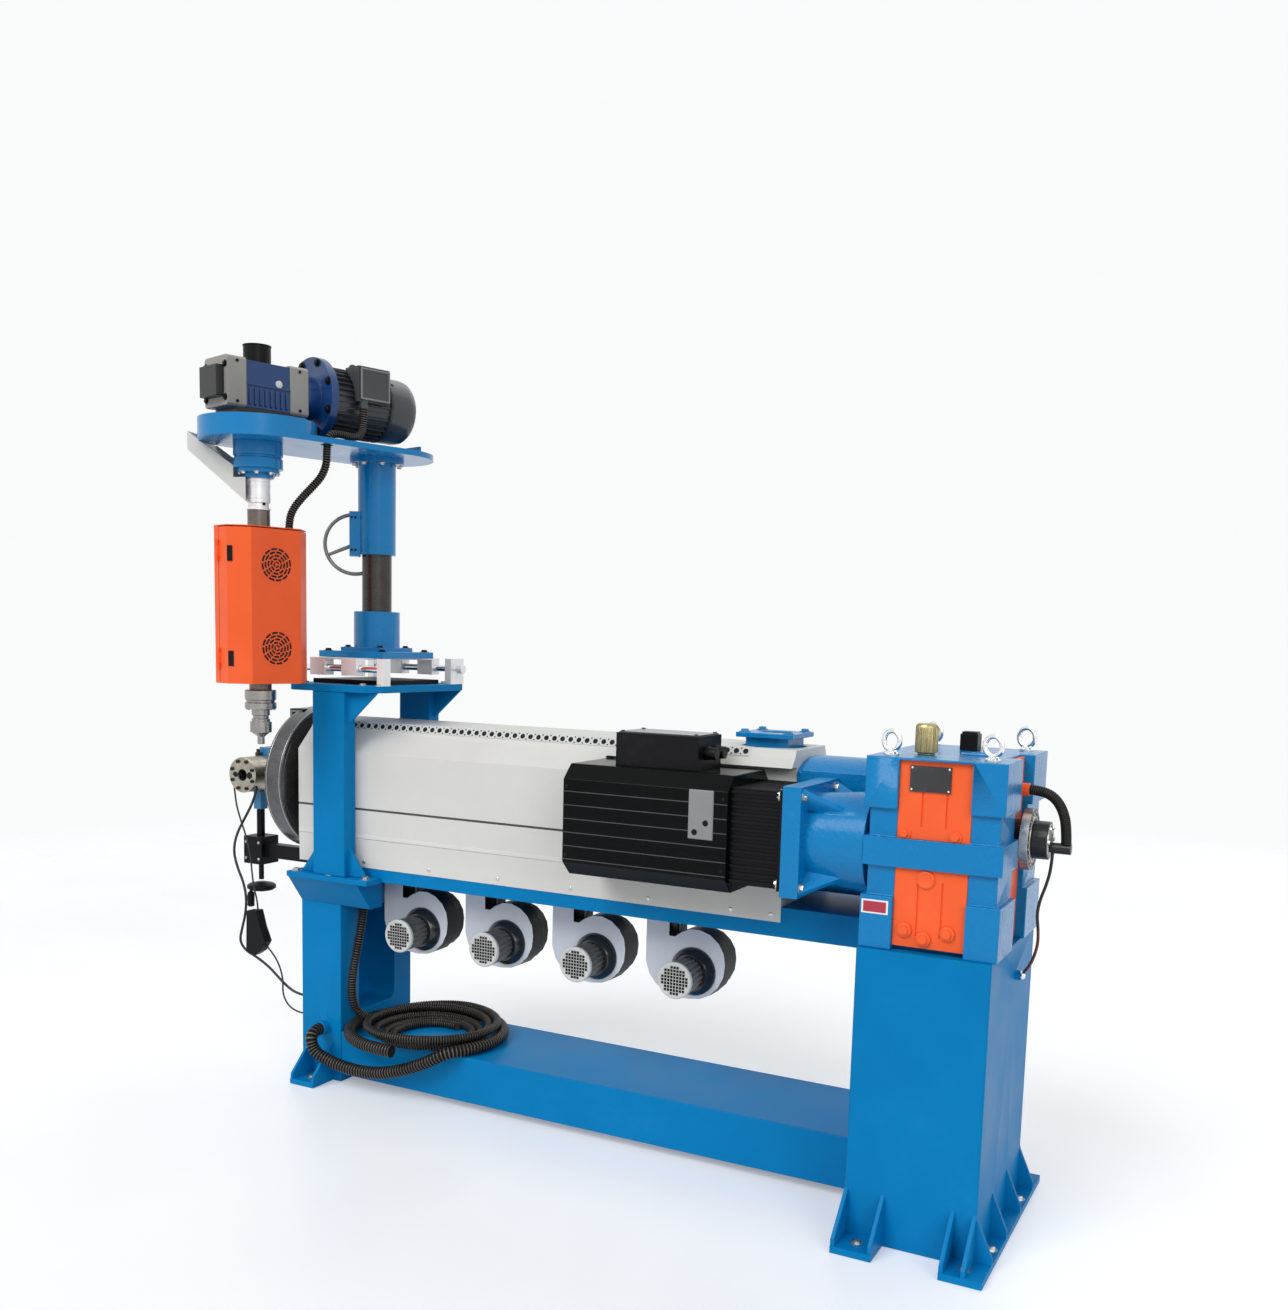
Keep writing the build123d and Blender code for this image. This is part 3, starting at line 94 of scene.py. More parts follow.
class Surface:
    """Gathers surfaces as arrays and makes them one mesh object."""

    def __init__(self):
        self.verts, self.faces, self.mats, self.count = [], [], [], 0

    def add(self, shape, mat=0, move=None, turn=None):
        """Adds (points, faces), turned by a matrix and then moved."""
        points, faces = shape
        if turn is not None:
            points = points @ np.asarray(turn).T
        if move is not None:
            points = points + np.asarray(move, float)
        self.verts.append(points)
        self.faces += [tuple(int(i) + self.count for i in f) for f in faces]
        self.mats += [mat] * len(faces)
        self.count += len(points)
        return self

    def bolt(self, at, axis=UP, across=18.0, high=9.0):
        """Adds a bolt head: a washer, and six flats with a chamfered top, each as rings of points
        about the axis."""
        r = across / 2
        self.add(lathe([(r * 1.75, -SUNK), (r * 1.75, high * 0.22), (r * 1.1, high * 0.24)], at, axis, 20))
        head = [(r * 1.15, -SUNK), (r * 1.15, high * 0.86), (r * 0.95, high), (r * 0.3, high)]
        self.add(lathe(head, at, axis, 6))

    def make(self, name, body, materials, bevel=0.0, segments=2, angle=40.0, arm=False, slot=None, own=False,
             replaces=()):
        """Makes the object, rides it on its body, and bevels its edges by a width in millimetres. With own,
        it takes the place of the CAD node that its slot names."""
        points = np.vstack(self.verts)
        if arm:
            points = on_arm(points)
        mesh = bpy.data.meshes.new(name)
        mesh.from_pydata((points * MM).tolist(), [], self.faces)
        mesh.polygons.foreach_set("material_index", self.mats)
        give(mesh, materials)
        return finish_piece(name, mesh, body, bevel, segments, angle, (slot,) if own else replaces)


def give(mesh, finishes):
    """Gives a mesh its materials, by one name or by a list of names."""
    for name in [finishes] if isinstance(finishes, str) else finishes:
        mesh.materials.append(MAT[name])


def finish_piece(name, mesh, body, bevel=0.0, segments=2, angle=40.0, replaces=()):
    """Smooths a mesh up to an edge angle, bevels it, and puts it on its body."""
    mesh.polygons.foreach_set("use_smooth", [True] * len(mesh.polygons))
    mesh.set_sharp_from_angle(angle=math.radians(angle))
    mesh.update()
    obj = bpy.data.objects.new(name, mesh)
    bpy.context.scene.collection.objects.link(obj)
    if bevel:
        mod = obj.modifiers.new("edges", "BEVEL")
        mod.width, mod.segments, mod.limit_method = bevel * MM, segments, "ANGLE"
        mod.angle_limit = math.radians(angle)
        mod.harden_normals = True
    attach(obj, body)
    if replaces:
        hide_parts(*replaces)
    return obj


def grid(points, close_u=False):
    """A surface through a grid of points (rows u, columns v): each row is a closed ring, each four neighbours
    make a face, and the two end rings are closed by a flat face unless the rows join up too."""
    nu, nv = points.shape[:2]
    i = np.arange(nu if close_u else nu - 1)[:, None]
    j = np.arange(nv)[None, :]
    a = i * nv + j
    b = i * nv + (j + 1) % nv
    c = ((i + 1) % nu) * nv + (j + 1) % nv
    d = ((i + 1) % nu) * nv + j
    faces = np.stack((a, b, c, d), -1).reshape(-1, 4).tolist()
    if not close_u:
        faces += [list(range(nv))[::-1], [(nu - 1) * nv + k for k in range(nv)]]
    return points.reshape(-1, 3), faces


def lathe(profile, at=(0, 0, 0), axis=UP, sides=48, closed=False):
    """A turned shape: each (radius, height) of the profile goes round the axis on a circle. With closed, the
    profile's end is joined to its start, which makes a ring."""
    p = np.asarray(profile, float)
    t = np.arange(sides) * 2 * math.pi / sides
    pts = np.empty((len(p), sides, 3))
    pts[:, :, 0] = p[:, :1] * np.cos(t)
    pts[:, :, 1] = p[:, :1] * np.sin(t)
    pts[:, :, 2] = p[:, 1:2]
    v, f = grid(pts, close_u=closed)
    return v @ turned_to(axis).T + np.asarray(at, float), f


def ring_shape(section, at=(0, 0, 0), axis=UP, sides=64):
    """A ring: a closed section of (radius, height) points carried round the axis."""
    return lathe(section, at, axis, sides, closed=True)


def torus(r, wire, at=(0, 0, 0), axis=UP, sides=48, round_sides=14):
    """A ring of round wire: a circle of radius wire carried round a circle of radius r."""
    u = np.arange(round_sides) * 2 * math.pi / round_sides
    return ring_shape(np.stack((r + wire * np.cos(u), wire * np.sin(u)), -1), at, axis, sides)


def slab(outline, low, high, axis="z"):
    """An outline drawn out along an axis: (x, y) along z, (x, z) along y or (y, z) along x."""
    o = np.asarray(outline, float)
    area = np.sum(o[:, 0] * np.roll(o[:, 1], -1) - np.roll(o[:, 0], -1) * o[:, 1])
    if (area < 0) != (axis == "y"):
        o = o[::-1]
    n = len(o)
    pts = np.empty((2, n, 3))
    order = {"z": (0, 1, 2), "y": (0, 2, 1), "x": (1, 2, 0)}[axis]
    pts[:, :, order[0]] = o[None, :, 0]
    pts[:, :, order[1]] = o[None, :, 1]
    pts[0, :, order[2]], pts[1, :, order[2]] = low, high
    return grid(pts)


def square(u, v, half_u, half_v):
    """The four corners of a rectangle about (u, v), whose sides are twice the two halves."""
    return [(u - half_u, v - half_v), (u + half_u, v - half_v), (u + half_u, v + half_v),
            (u - half_u, v + half_v)]


def brick(x0, x1, y0, y1, z0, z1):
    """A block between two corners, for a larger piece with bevelled edges."""
    return slab([(x0, y0), (x1, y0), (x1, y1), (x0, y1)], z0, z1)


def ring_rect(a0, a1, b0, b1, low, high, wide, axis):
    """A rectangular frame: two rectangles, one inside the other, joined and drawn out along an axis."""
    order = {"z": (0, 1, 2), "y": (0, 2, 1), "x": (1, 2, 0)}[axis]
    pts = np.empty((4, 4, 3))
    for row, (g, h) in enumerate(((0, low), (0, high), (wide, high), (wide, low))):
        c = np.array([(a0 + g, b0 + g), (a1 - g, b0 + g), (a1 - g, b1 - g), (a0 + g, b1 - g)])
        pts[row][:, order[0]], pts[row][:, order[1]], pts[row][:, order[2]] = c[:, 0], c[:, 1], h
    v, f = grid(pts, close_u=True)
    if axis == "y":
        f = [tuple(q[::-1]) for q in f]
    return v, f


def frames_along(path):
    """Unit tangent, side and up vectors along a path: the side vector is carried along without twist."""
    p = np.asarray(path, float)
    t = np.gradient(p, axis=0)
    t /= np.linalg.norm(t, axis=1)[:, None]
    side = np.empty_like(p)
    ref = np.array((0, 0, 1.0)) if abs(t[0, 2]) < 0.9 else np.array((1.0, 0, 0))
    s = np.cross(t[0], ref)
    for k in range(len(p)):
        s = s - t[k] * np.dot(s, t[k])
        s /= np.linalg.norm(s)
        side[k] = s
    return t, side, np.cross(t, side)


def carried(path, radius, sides=12):
    """A tube: a circle whose radius may change is carried along a path."""
    p = np.asarray(path, float)
    r = np.broadcast_to(np.asarray(radius, float), (len(p),))
    _, side, up = frames_along(p)
    a = -np.arange(sides) * 2 * math.pi / sides
    across = np.cos(a)[None, :, None] * side[:, None] + np.sin(a)[None, :, None] * up[:, None]
    return grid(p[:, None] + r[:, None, None] * across)


def socket_screw(at, axis=UP, r=6.5, high=7.0):
    """A cap screw: a round head with a sunk middle, as rings of points about the axis."""
    rings = [(r, -SUNK), (r, high * 0.8), (r * 0.85, high), (r * 0.5, high), (r * 0.48, high * 0.5),
             (r * 0.1, high * 0.5)]
    return lathe(rings, at, axis, 14)


def around(n, first=0.0):
    """The cosine and the sine of n even steps round a circle, from a first angle in degrees."""
    turns = [math.radians(first + 360.0 * k / n) for k in range(n)]
    return [(math.cos(a), math.sin(a)) for a in turns]


def copied(node, suffix, body, materials, bevel=2.5, angle=35.0, segments=2, paint=None, joined=True):
    """A copy of a CAD node with its loose triangles merged, flat neighbours joined and edges bevelled. The
    function paint takes the faces' centres and normals in metres, and gives each face its material."""
    name = node + "_" + suffix
    bm = bmesh.new()
    bm.from_mesh(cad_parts[node].data)
    bmesh.ops.remove_doubles(bm, verts=bm.verts, dist=0.00005)
    if joined:
        bmesh.ops.dissolve_limit(bm, angle_limit=math.radians(1.0), verts=bm.verts, edges=bm.edges)
    mesh = bpy.data.meshes.new(name)
    bm.to_mesh(mesh)
    bm.free()
    mesh.materials.clear()
    give(mesh, materials)
    index = np.zeros(len(mesh.polygons), np.int32)
    if paint:
        centre = np.zeros(len(mesh.polygons) * 3)
        normal = np.zeros(len(mesh.polygons) * 3)
        mesh.polygons.foreach_get("center", centre)
        mesh.polygons.foreach_get("normal", normal)
        index = paint(centre.reshape(-1, 3), normal.reshape(-1, 3)).astype(np.int32)
    mesh.polygons.foreach_set("material_index", index)
    return finish_piece(name, mesh, body, bevel, segments, angle, (node,))


# Materials: shared effects as node groups, and one material for each finish

NODES = {}
MAT = {}


def group(name, inputs, outputs):
    """A shader node group with named numbers in and out: its tree, and its input and output nodes."""
    tree = bpy.data.node_groups.new(name, "ShaderNodeTree")
    for label, value in inputs.items():
        socket = tree.interface.new_socket(name=label, in_out="INPUT", socket_type="NodeSocketFloat")
        socket.default_value = value
    for label in outputs:
        tree.interface.new_socket(name=label, in_out="OUTPUT", socket_type="NodeSocketFloat")
    a = tree.nodes.new("NodeGroupInput")
    b = tree.nodes.new("NodeGroupOutput")
    NODES[name] = tree
    return tree, a, b


def node(tree, kind, **values):
    """A node with its settings, and its inputs given by index or name in a dict called inputs."""
    n = tree.nodes.new(kind)
    for k, v in values.items():
        if k == "inputs":
            for i, x in v.items():
                n.inputs[i].default_value = x
        else:
            setattr(n, k, v)
    return n


def noise(tree, vector, scale, detail=3.0, rough=0.55):
    """A noise texture on a vector, whose scale is a number or an output socket."""
    n = node(tree, "ShaderNodeTexNoise", inputs={"Detail": detail, "Roughness": rough})
    tree.links.new(vector, n.inputs["Vector"])
    if isinstance(scale, (int, float)):
        n.inputs["Scale"].default_value = scale
    else:
        tree.links.new(scale, n.inputs["Scale"])
    return n.outputs["Fac"]


def math_node(tree, op, a, b):
    """A math node whose two inputs are numbers or output sockets."""
    n = node(tree, "ShaderNodeMath", operation=op)
    for i, x in enumerate((a, b)):
        if isinstance(x, (int, float)):
            n.inputs[i].default_value = x
        else:
            tree.links.new(x, n.inputs[i])
    return n.outputs[0]


def span_map(tree, value, low, high, to_low=0.0, to_high=1.0):
    """A value mapped from one range to another, clamped."""
    n = node(tree, "ShaderNodeMapRange", inputs={1: low, 2: high, 3: to_low, 4: to_high})
    tree.links.new(value, n.inputs[0])
    return n.outputs[0]


def build_groups():
    """Builds the shared effects: mottled paint, orange peel, dust specks, brushed streaks and stains."""
    tree, a, b = group("paint_surface", {"Mottle Scale": 6.0, "Peel Scale": 420.0, "Peel": 0.3},
                       ("Mottle", "Height", "Dust"))
    pos = node(tree, "ShaderNodeTexCoord").outputs["Object"]
    big = noise(tree, pos, a.outputs["Mottle Scale"], 4.0)
    fine = noise(tree, pos, a.outputs["Peel Scale"], 2.0)
    tree.links.new(span_map(tree, big, 0.3, 0.7), b.inputs["Mottle"])
    tree.links.new(math_node(tree, "MULTIPLY", fine, a.outputs["Peel"]), b.inputs["Height"])
    specks = noise(tree, pos, 55.0, 6.0, 0.7)
    tree.links.new(span_map(tree, math_node(tree, "MULTIPLY", specks, big), 0.30, 0.42), b.inputs["Dust"])

    tree, a, b = group("brushed_metal", {"Fineness": 300.0, "Squash X": 0.05, "Squash Z": 1.0},
                       ("Streak", "Stain", "Height"))
    pos = node(tree, "ShaderNodeTexCoord").outputs["Object"]
    split = node(tree, "ShaderNodeSeparateXYZ")
    tree.links.new(pos, split.inputs[0])
    join = node(tree, "ShaderNodeCombineXYZ")
    tree.links.new(math_node(tree, "MULTIPLY", split.outputs[0], a.outputs["Squash X"]), join.inputs[0])
    tree.links.new(split.outputs[1], join.inputs[1])
    tree.links.new(math_node(tree, "MULTIPLY", split.outputs[2], a.outputs["Squash Z"]), join.inputs[2])
    streak = noise(tree, join.outputs[0], a.outputs["Fineness"], 2.0)
    stain = noise(tree, pos, 22.0, 5.0, 0.65)
    tree.links.new(streak, b.inputs["Streak"])
    tree.links.new(span_map(tree, stain, 0.38, 0.68), b.inputs["Stain"])
    tree.links.new(streak, b.inputs["Height"])


def new_material(name):
    """A node material, kept under its name: its node tree and its Principled shader."""
    mat = bpy.data.materials.new(name)
    mat.use_nodes = True
    MAT[name] = mat
    return mat.node_tree, mat.node_tree.nodes["Principled BSDF"]


def placed(tree, name, **values):
    """One of the shared groups, with its own values."""
    g = tree.nodes.new("ShaderNodeGroup")
    g.node_tree = NODES[name]
    for k, v in values.items():
        g.inputs[k.replace("_", " ")].default_value = v
    return g


def mixed(tree, fac, low, high):
    """A colour between two colours, by a factor socket."""
    n = node(tree, "ShaderNodeMix", data_type="RGBA")
    tree.links.new(fac, n.inputs[0])
    for i, c in ((6, low), (7, high)):
        if isinstance(c, tuple):
            n.inputs[i].default_value = (*c[:3], 1.0)
        else:
            tree.links.new(c, n.inputs[i])
    return n.outputs[2]


def bump(tree, shader, height, distance):
    """A bump of a height socket on the shader's normal."""
    n = node(tree, "ShaderNodeBump", inputs={"Strength": 1.0, "Distance": distance})
    tree.links.new(height, n.inputs["Height"])
    tree.links.new(n.outputs[0], shader.inputs["Normal"])


def tone(color, k):
    """A colour made lighter or darker by a factor."""
    return tuple(min(1.0, c * k) for c in color[:3])


def paint(name, color, rough=0.32, mottle=0.10, peel=0.25, peel_scale=420.0, depth=0.0004, coat=0.35,
          dust=0.12,
          mottle_scale=5.0, specular=0.35):
    """Sprayed paint: its colour drifts a little, dust greys it here and there, and its skin has orange
    peel."""
    tree, s = new_material(name)
    g = placed(tree, "paint_surface", Peel_Scale=peel_scale, Peel=peel, Mottle_Scale=mottle_scale)
    base = mixed(tree, g.outputs["Mottle"], tone(color, 1 - mottle), tone(color, 1 + mottle))
    grey = 0.35 * sum(color[:3]) / 3 + 0.20
    soil = mixed(tree, math_node(tree, "MULTIPLY", g.outputs["Dust"], dust), base, (grey, grey, grey * 0.96))
    tree.links.new(soil, s.inputs["Base Color"])
    tree.links.new(math_node(tree, "ADD",
                             span_map(tree, g.outputs["Mottle"], 0, 1, rough - 0.05, rough + 0.07),
                             math_node(tree, "MULTIPLY", g.outputs["Dust"], dust)), s.inputs["Roughness"])
    s.inputs["Coat Weight"].default_value = coat
    s.inputs["Specular IOR Level"].default_value = specular
    s.inputs["Coat Roughness"].default_value = 0.12
    bump(tree, s, g.outputs["Height"], depth)


def metal(name, color, rough=0.3, stain=0.35, fineness=320.0, depth=0.0001, metallic=1.0):
    """Worked metal: fine streaks along the tool's way and darker stains."""
    tree, s = new_material(name)
    g = placed(tree, "brushed_metal", Fineness=fineness)
    base = mixed(tree, math_node(tree, "MULTIPLY", g.outputs["Stain"], stain), color, tone(color, 0.45))
    base = mixed(tree, math_node(tree, "MULTIPLY", g.outputs["Streak"], 0.25), base, tone(color, 1.25))
    tree.links.new(base, s.inputs["Base Color"])
    tree.links.new(span_map(tree, g.outputs["Streak"], 0.3, 0.7, rough - 0.06, rough + 0.10),
                   s.inputs["Roughness"])
    s.inputs["Metallic"].default_value = metallic
    bump(tree, s, g.outputs["Height"], depth)


def two_tone(name, low, high, height):
    """Wire whose covering changes at a height in metres: one colour below it and another above."""
    tree, s = new_material(name)
    g = placed(tree, "paint_surface", Mottle_Scale=40.0)
    split = node(tree, "ShaderNodeSeparateXYZ")
    tree.links.new(node(tree, "ShaderNodeTexCoord").outputs["Object"], split.inputs[0])
    base = mixed(tree, span_map(tree, split.outputs[2], height - 0.001, height + 0.001), low, high)
    worn = mixed(tree, math_node(tree, "MULTIPLY", g.outputs["Dust"], 0.15), base, (0.3, 0.28, 0.26))
    tree.links.new(worn, s.inputs["Base Color"])
    tree.links.new(span_map(tree, g.outputs["Mottle"], 0, 1, 0.35, 0.5), s.inputs["Roughness"])
    bump(tree, s, g.outputs["Height"], 0.0002)


def build_materials(look):
    """Makes every finish of the machine from the panel's colours."""
    build_groups()
    blue = tuple(look.blue)
    paint("blue_paint", blue, rough=0.40, coat=0.03, mottle=0.05, dust=0.02, specular=0.07)
    # The arm's blue: the stand's blue lightened by 1.12 with a glossier coat; the lighter tone is painted
    # light, a lit copy of the same blue
    paint("arm_blue_paint", tone(blue, 1.12), rough=0.28, coat=0.35, mottle=0.05, dust=0.03, specular=0.2)
    paint("hammered_blue", tone(blue, 1.06), rough=0.26, peel=1.0, peel_scale=95.0, depth=0.0016, coat=0.22,
          mottle=0.05, dust=0.03, specular=0.15)
    paint("deep_blue_paint", tuple(look.deep_blue), rough=0.30, coat=0.35, mottle=0.12, dust=0.05)
    paint("orange_paint", tuple(look.orange), rough=0.42, coat=0.08, mottle=0.06, dust=0.03, specular=0.25)
    paint("cover_paint", tuple(look.cover), rough=0.46, coat=0.05, mottle=0.03, peel=0.5, peel_scale=260.0,
          depth=0.0003, dust=0.05)
    paint("gloss_black", (0.002, 0.003, 0.003), rough=0.15, coat=0.04, mottle=0.2, peel=0.1, dust=0.01,
          specular=0.07)
    paint("satin_black", (0.006, 0.006, 0.007), rough=0.38, coat=0.02, mottle=0.25, dust=0.02, specular=0.12)
    paint("motor_grey", (0.040, 0.047, 0.050), rough=0.30, coat=0.4, mottle=0.2, dust=0.06)
    paint("box_grey", (0.055, 0.062, 0.066), rough=0.42, coat=0.1, mottle=0.12)
    paint("frame_grey", (0.24, 0.25, 0.25), rough=0.42, coat=0.1, mottle=0.08)
    paint("reducer_grey", (0.33, 0.32, 0.29), rough=0.38, coat=0.2, mottle=0.10, peel=0.5)
    paint("blower_grey", (0.66, 0.69, 0.75), rough=0.38, coat=0.15, mottle=0.08, peel=0.7, peel_scale=300.0)
    paint("fan_black", (0.018, 0.019, 0.020), rough=0.18, coat=0.45, mottle=0.2, dust=0.04)
    paint("fan_motor_grey", (0.085, 0.088, 0.086), rough=0.36, coat=0.15, mottle=0.3, mottle_scale=30.0)
    paint("cap_grey", (0.60, 0.61, 0.60), rough=0.45, coat=0.05, mottle=0.06)
    paint("cast_black", (0.010, 0.010, 0.011), rough=0.36, peel=1.0, peel_scale=230.0, depth=0.0008,
          coat=0.2, mottle=0.3, specular=0.3)
    metal("machined_steel", (0.50, 0.49, 0.46), rough=0.28)
    metal("nozzle_steel", (0.33, 0.32, 0.30), rough=0.24, stain=0.3, fineness=30.0, depth=0.00002)
    metal("browned_steel", (0.17, 0.15, 0.13), rough=0.30, stain=0.5, metallic=0.85)
    metal("tarnished_steel", (0.42, 0.39, 0.33), rough=0.30, stain=0.75)
    metal("oiled_steel", (0.060, 0.054, 0.052), rough=0.30, stain=0.5, metallic=0.8)
    metal("clamp_steel", (0.12, 0.12, 0.125), rough=0.20, stain=0.6, metallic=0.9)
    metal("chrome", (0.82, 0.82, 0.82), rough=0.13, stain=0.15)
    metal("aluminium", (0.80, 0.80, 0.81), rough=0.42, stain=0.10, metallic=0.6)
    metal("zinc_bolt", (0.55, 0.55, 0.53), rough=0.32, stain=0.4)
    metal("fan_metal", (0.22, 0.22, 0.21), rough=0.33, stain=0.4, metallic=0.7)
    metal("brass", (0.40, 0.34, 0.17), rough=0.34, stain=0.35)
    paint("tag_blue", (0.035, 0.23, 0.46), rough=0.4, mottle=0.2)
    paint("bare_plate", (0.02, 0.02, 0.022), rough=0.3, coat=0.4, mottle=0.2)
    paint("red_plate", (0.42, 0.02, 0.05), rough=0.35, coat=0.4, mottle=0.1)
    paint("white_plastic", (0.75, 0.75, 0.72), rough=0.35, coat=0.2, mottle=0.04)
    paint("cord_rubber", (0.016, 0.015, 0.014), rough=0.46, coat=0.1, mottle=0.3)
    # The conduit's heavy dust lightens its ridges: real dust, and partly a painted highlight on the ridges
    paint("conduit_plastic", tuple(look.conduit), rough=0.38, coat=0.25, mottle=0.35, mottle_scale=14.0,
          dust=0.35)
    # Near-black for the flanks of the conduits' grooves: painted shade in the grooves
    paint("conduit_groove_shade", (0.008, 0.007, 0.006), rough=0.6, coat=0.0, mottle=0.3, dust=0.05, specular=0.1)
    two_tone("sleeved_wire", (0.14, 0.028, 0.018), (0.012, 0.011, 0.011), 0.80)
    # Near-black for the insides of holes, slots and the bore: painted shade standing in for the openings
    paint("hole_black", (0.004, 0.004, 0.004), rough=0.8, coat=0.0, mottle=0.1, dust=0.0)


# Lines: free cords follow a smooth spline through their route


def spline_object(name, points, radius=0.0):
    """A NURBS curve object whose control points are the route's points, with a round section of that
    radius."""
    curve = bpy.data.curves.new(name, "CURVE")
    curve.dimensions = "3D"
    curve.resolution_u = 10
    spline = curve.splines.new("NURBS")
    spline.points.add(len(points) - 1)
    flat = np.column_stack((np.asarray(points, float) * MM, np.ones(len(points))))
    spline.points.foreach_set("co", flat.ravel())
    spline.order_u = 3
    spline.use_endpoint_u = True
    if radius:
        curve.bevel_depth = radius * MM
        curve.bevel_resolution = 4
        curve.use_fill_caps = True
    obj = bpy.data.objects.new(name, curve)
    bpy.context.scene.collection.objects.link(obj)
    return obj


def points_of(points, step):
    """Points in millimetres, a step apart, read from the route's NURBS spline."""
    line = spline_object("route", points)
    bpy.context.view_layer.update()
    mesh = bpy.data.meshes.new_from_object(line)
    co = np.zeros(len(mesh.vertices) * 3)
    mesh.vertices.foreach_get("co", co)
    bpy.data.objects.remove(line)
    p = co.reshape(-1, 3) / MM
    run = np.concatenate(([0.0], np.cumsum(np.linalg.norm(np.diff(p, axis=0), axis=1))))
    at = np.linspace(0.0, run[-1], max(8, int(run[-1] / step)))
    return np.column_stack([np.interp(at, run, p[:, k]) for k in range(3)]), run[-1]


def corrugated(name, points, wide, pitch, depth, body, material, replaces, sides=12):
    """A ribbed conduit: a circle is carried along the route, and each third row is drawn in to make
    the groove; the rows sloping into each groove get a near-black painted shade."""
    path, length = points_of(points, pitch / 3)
    radius = np.full(len(path), wide / 2)
    radius[2::3] -= depth
    s = Surface().add(carried(path, radius, sides))
    row = np.arange(len(s.faces)) // sides
    # Rows sloping into the grooves take the second material: painted shade
    s.mats = (row % 3 != 0).astype(int).tolist()
    obj = s.make(name, body, [material, "conduit_groove_shade"], angle=75.0, slot=replaces[0], replaces=replaces)
    return obj


def smooth_cord(name, points, wide, body, material, replaces):
    """A round cord: the route's spline with a round section."""
    _, length = points_of(points, 2.0)
    obj = spline_object(name, points, wide / 2)
    give(obj.data, material)
    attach(obj, body)
    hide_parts(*replaces)
    return obj


ARM_ROUTE = [(-133, -118, 2202), (-134, -118, 2155), (-150, -126, 2115), (-192, -140, 2104),
             (-236, -143, 2109),
             (-277, -142, 2104), (-284, -143, 2056), (-286, -145, 2012), (-296, -133, 1974),
             (-312, -108, 1944),
             (-332, -84, 1913), (-351, -64, 1880), (-360, -51, 1846), (-360, -50, 1813)]
DROP_ROUTE = [(-1980, -86, 700), (-1981, -90, 600), (-1980, -116, 490), (-1981, -146, 390),
              (-1980, -160, 300),
              (-1974, -142, 235), (-1935, -98, 200)]
LOOP_ROUTE = [(-2070, -214, 180), (-2070, -262, 180), (-2052, -266, 118), (-1985, -254, 90),
              (-1915, -249, 79),
              (-1835, -248, 79), (-1755, -249, 94), (-1680, -246, 120), (-1608, -240, 152),
              (-1545, -225, 190)]
HEAD_ROUTE = [(-2434, -116, 958), (-2453, -118, 905), (-2492, -118, 847), (-2532, -119, 785),
              (-2549, -118, 725),
              (-2533, -117, 668), (-2503, -118, 617), (-2488, -119, 562), (-2495, -118, 503),
              (-2512, -117, 450),
              (-2525, -118, 402), (-2495, -119, 370), (-2442, -118, 353), (-2383, -117, 324),
              (-2331, -118, 286),
              (-2279, -118, 255), (-2225, -116, 246), (-2169, -116, 246)]
LEAD_ROUTE = [(-2530, -129, 962), (-2524, -130, 905), (-2502, -131, 845), (-2474, -130, 782),
              (-2456, -129, 716),
              (-2450, -130, 655), (-2440, -131, 600), (-2426, -130, 560), (-2424, -130, 526)]
PLUG_ROUTE = [(-2391, -130, 409), (-2352, -130, 379), (-2321, -131, 335), (-2310, -130, 290),
              (-2314, -129, 248),
              (-2296, -130, 213), (-2262, -131, 193), (-2217, -130, 187), (-2169, -128, 188)]
HOSE_ROUTE = [(182, -150, 1154), (216, -151, 1153), (246, -150, 1136), (265, -149, 1106), (275, -150, 1068),
              (277, -150, 1024)]
WIRE_ROUTE = [(246, -150, 1001), (245, -150, 960), (235, -149, 915), (222, -150, 875), (218, -151, 840),
              (223, -149, 802), (224, -145, 764), (214, -138, 724), (199, -126, 692), (182, -112, 671)]
COIL_AT = (-1710.0, -75.0)


def drop_turns():
    """The drop's coil: a spiral that goes in by one diameter a turn, from the top of the pile down to
    the beam."""
    a = np.radians(186.0 - 22.5 * np.arange(1, 70))
    turn = (math.radians(186.0) - a) / (2 * math.pi)
    r = 229.0 - 28.0 * turn
    z = np.interp(turn, [0, 0.25, 0.75, 1.1, 1.9, 2.6, 5], [209, 227, 229, 222, 205, 189, 188.5])
    wobble = 5.0 * np.cos(3 * a) + 4.0 * np.sin(2 * a)
    x = COIL_AT[0] + (r + wobble) * np.cos(a) * (1 + 0.05 * (np.cos(a) < 0))
    y = COIL_AT[1] + (r + wobble) * np.sin(a)
    return np.column_stack((x, y, z)).tolist()


def loop_turns():
    """The thick conduit's turn: it goes round the outside of the coil, and reaches out where the drop
    comes down."""
    deg = np.arange(-25.0, 286.0, 20.0)
    r = np.interp(deg, [-42, 0, 120, 150, 180, 200, 225, 250, 285],
                  [232, 238, 240, 254, 270, 280, 268, 250, 236])
    a = np.radians(deg)
    return np.column_stack((COIL_AT[0] + r * np.cos(a), COIL_AT[1] + r * np.sin(a),
                            np.full(len(a), 195.0))).tolist()


# Panel settings


def colour(name, description, default):
    """A colour setting of the panel."""
    return FloatVectorProperty(name=name, description=description, subtype="COLOR", size=3, min=0.0, max=1.0,
                               default=default)


class ExtruderLook(bpy.types.PropertyGroup):
    """The colours of the machine's paints."""

    blue: colour("Blue paint", "Colour of the stand, housings and arm", (0.0, 0.195, 0.475))
    deep_blue: colour("Dark blue paint", "Colour of the small reducer and its flange", (0.004, 0.046, 0.17))
    orange: colour("Orange paint", "Colour of the guard and the gear case inside", (0.96, 0.125, 0.028))
    cover: colour("Cover paint", "Colour of the barrel cover and the feed chute", (0.68, 0.675, 0.645))
    conduit: colour("Conduit", "Colour of the ribbed conduits", (0.060, 0.052, 0.044))


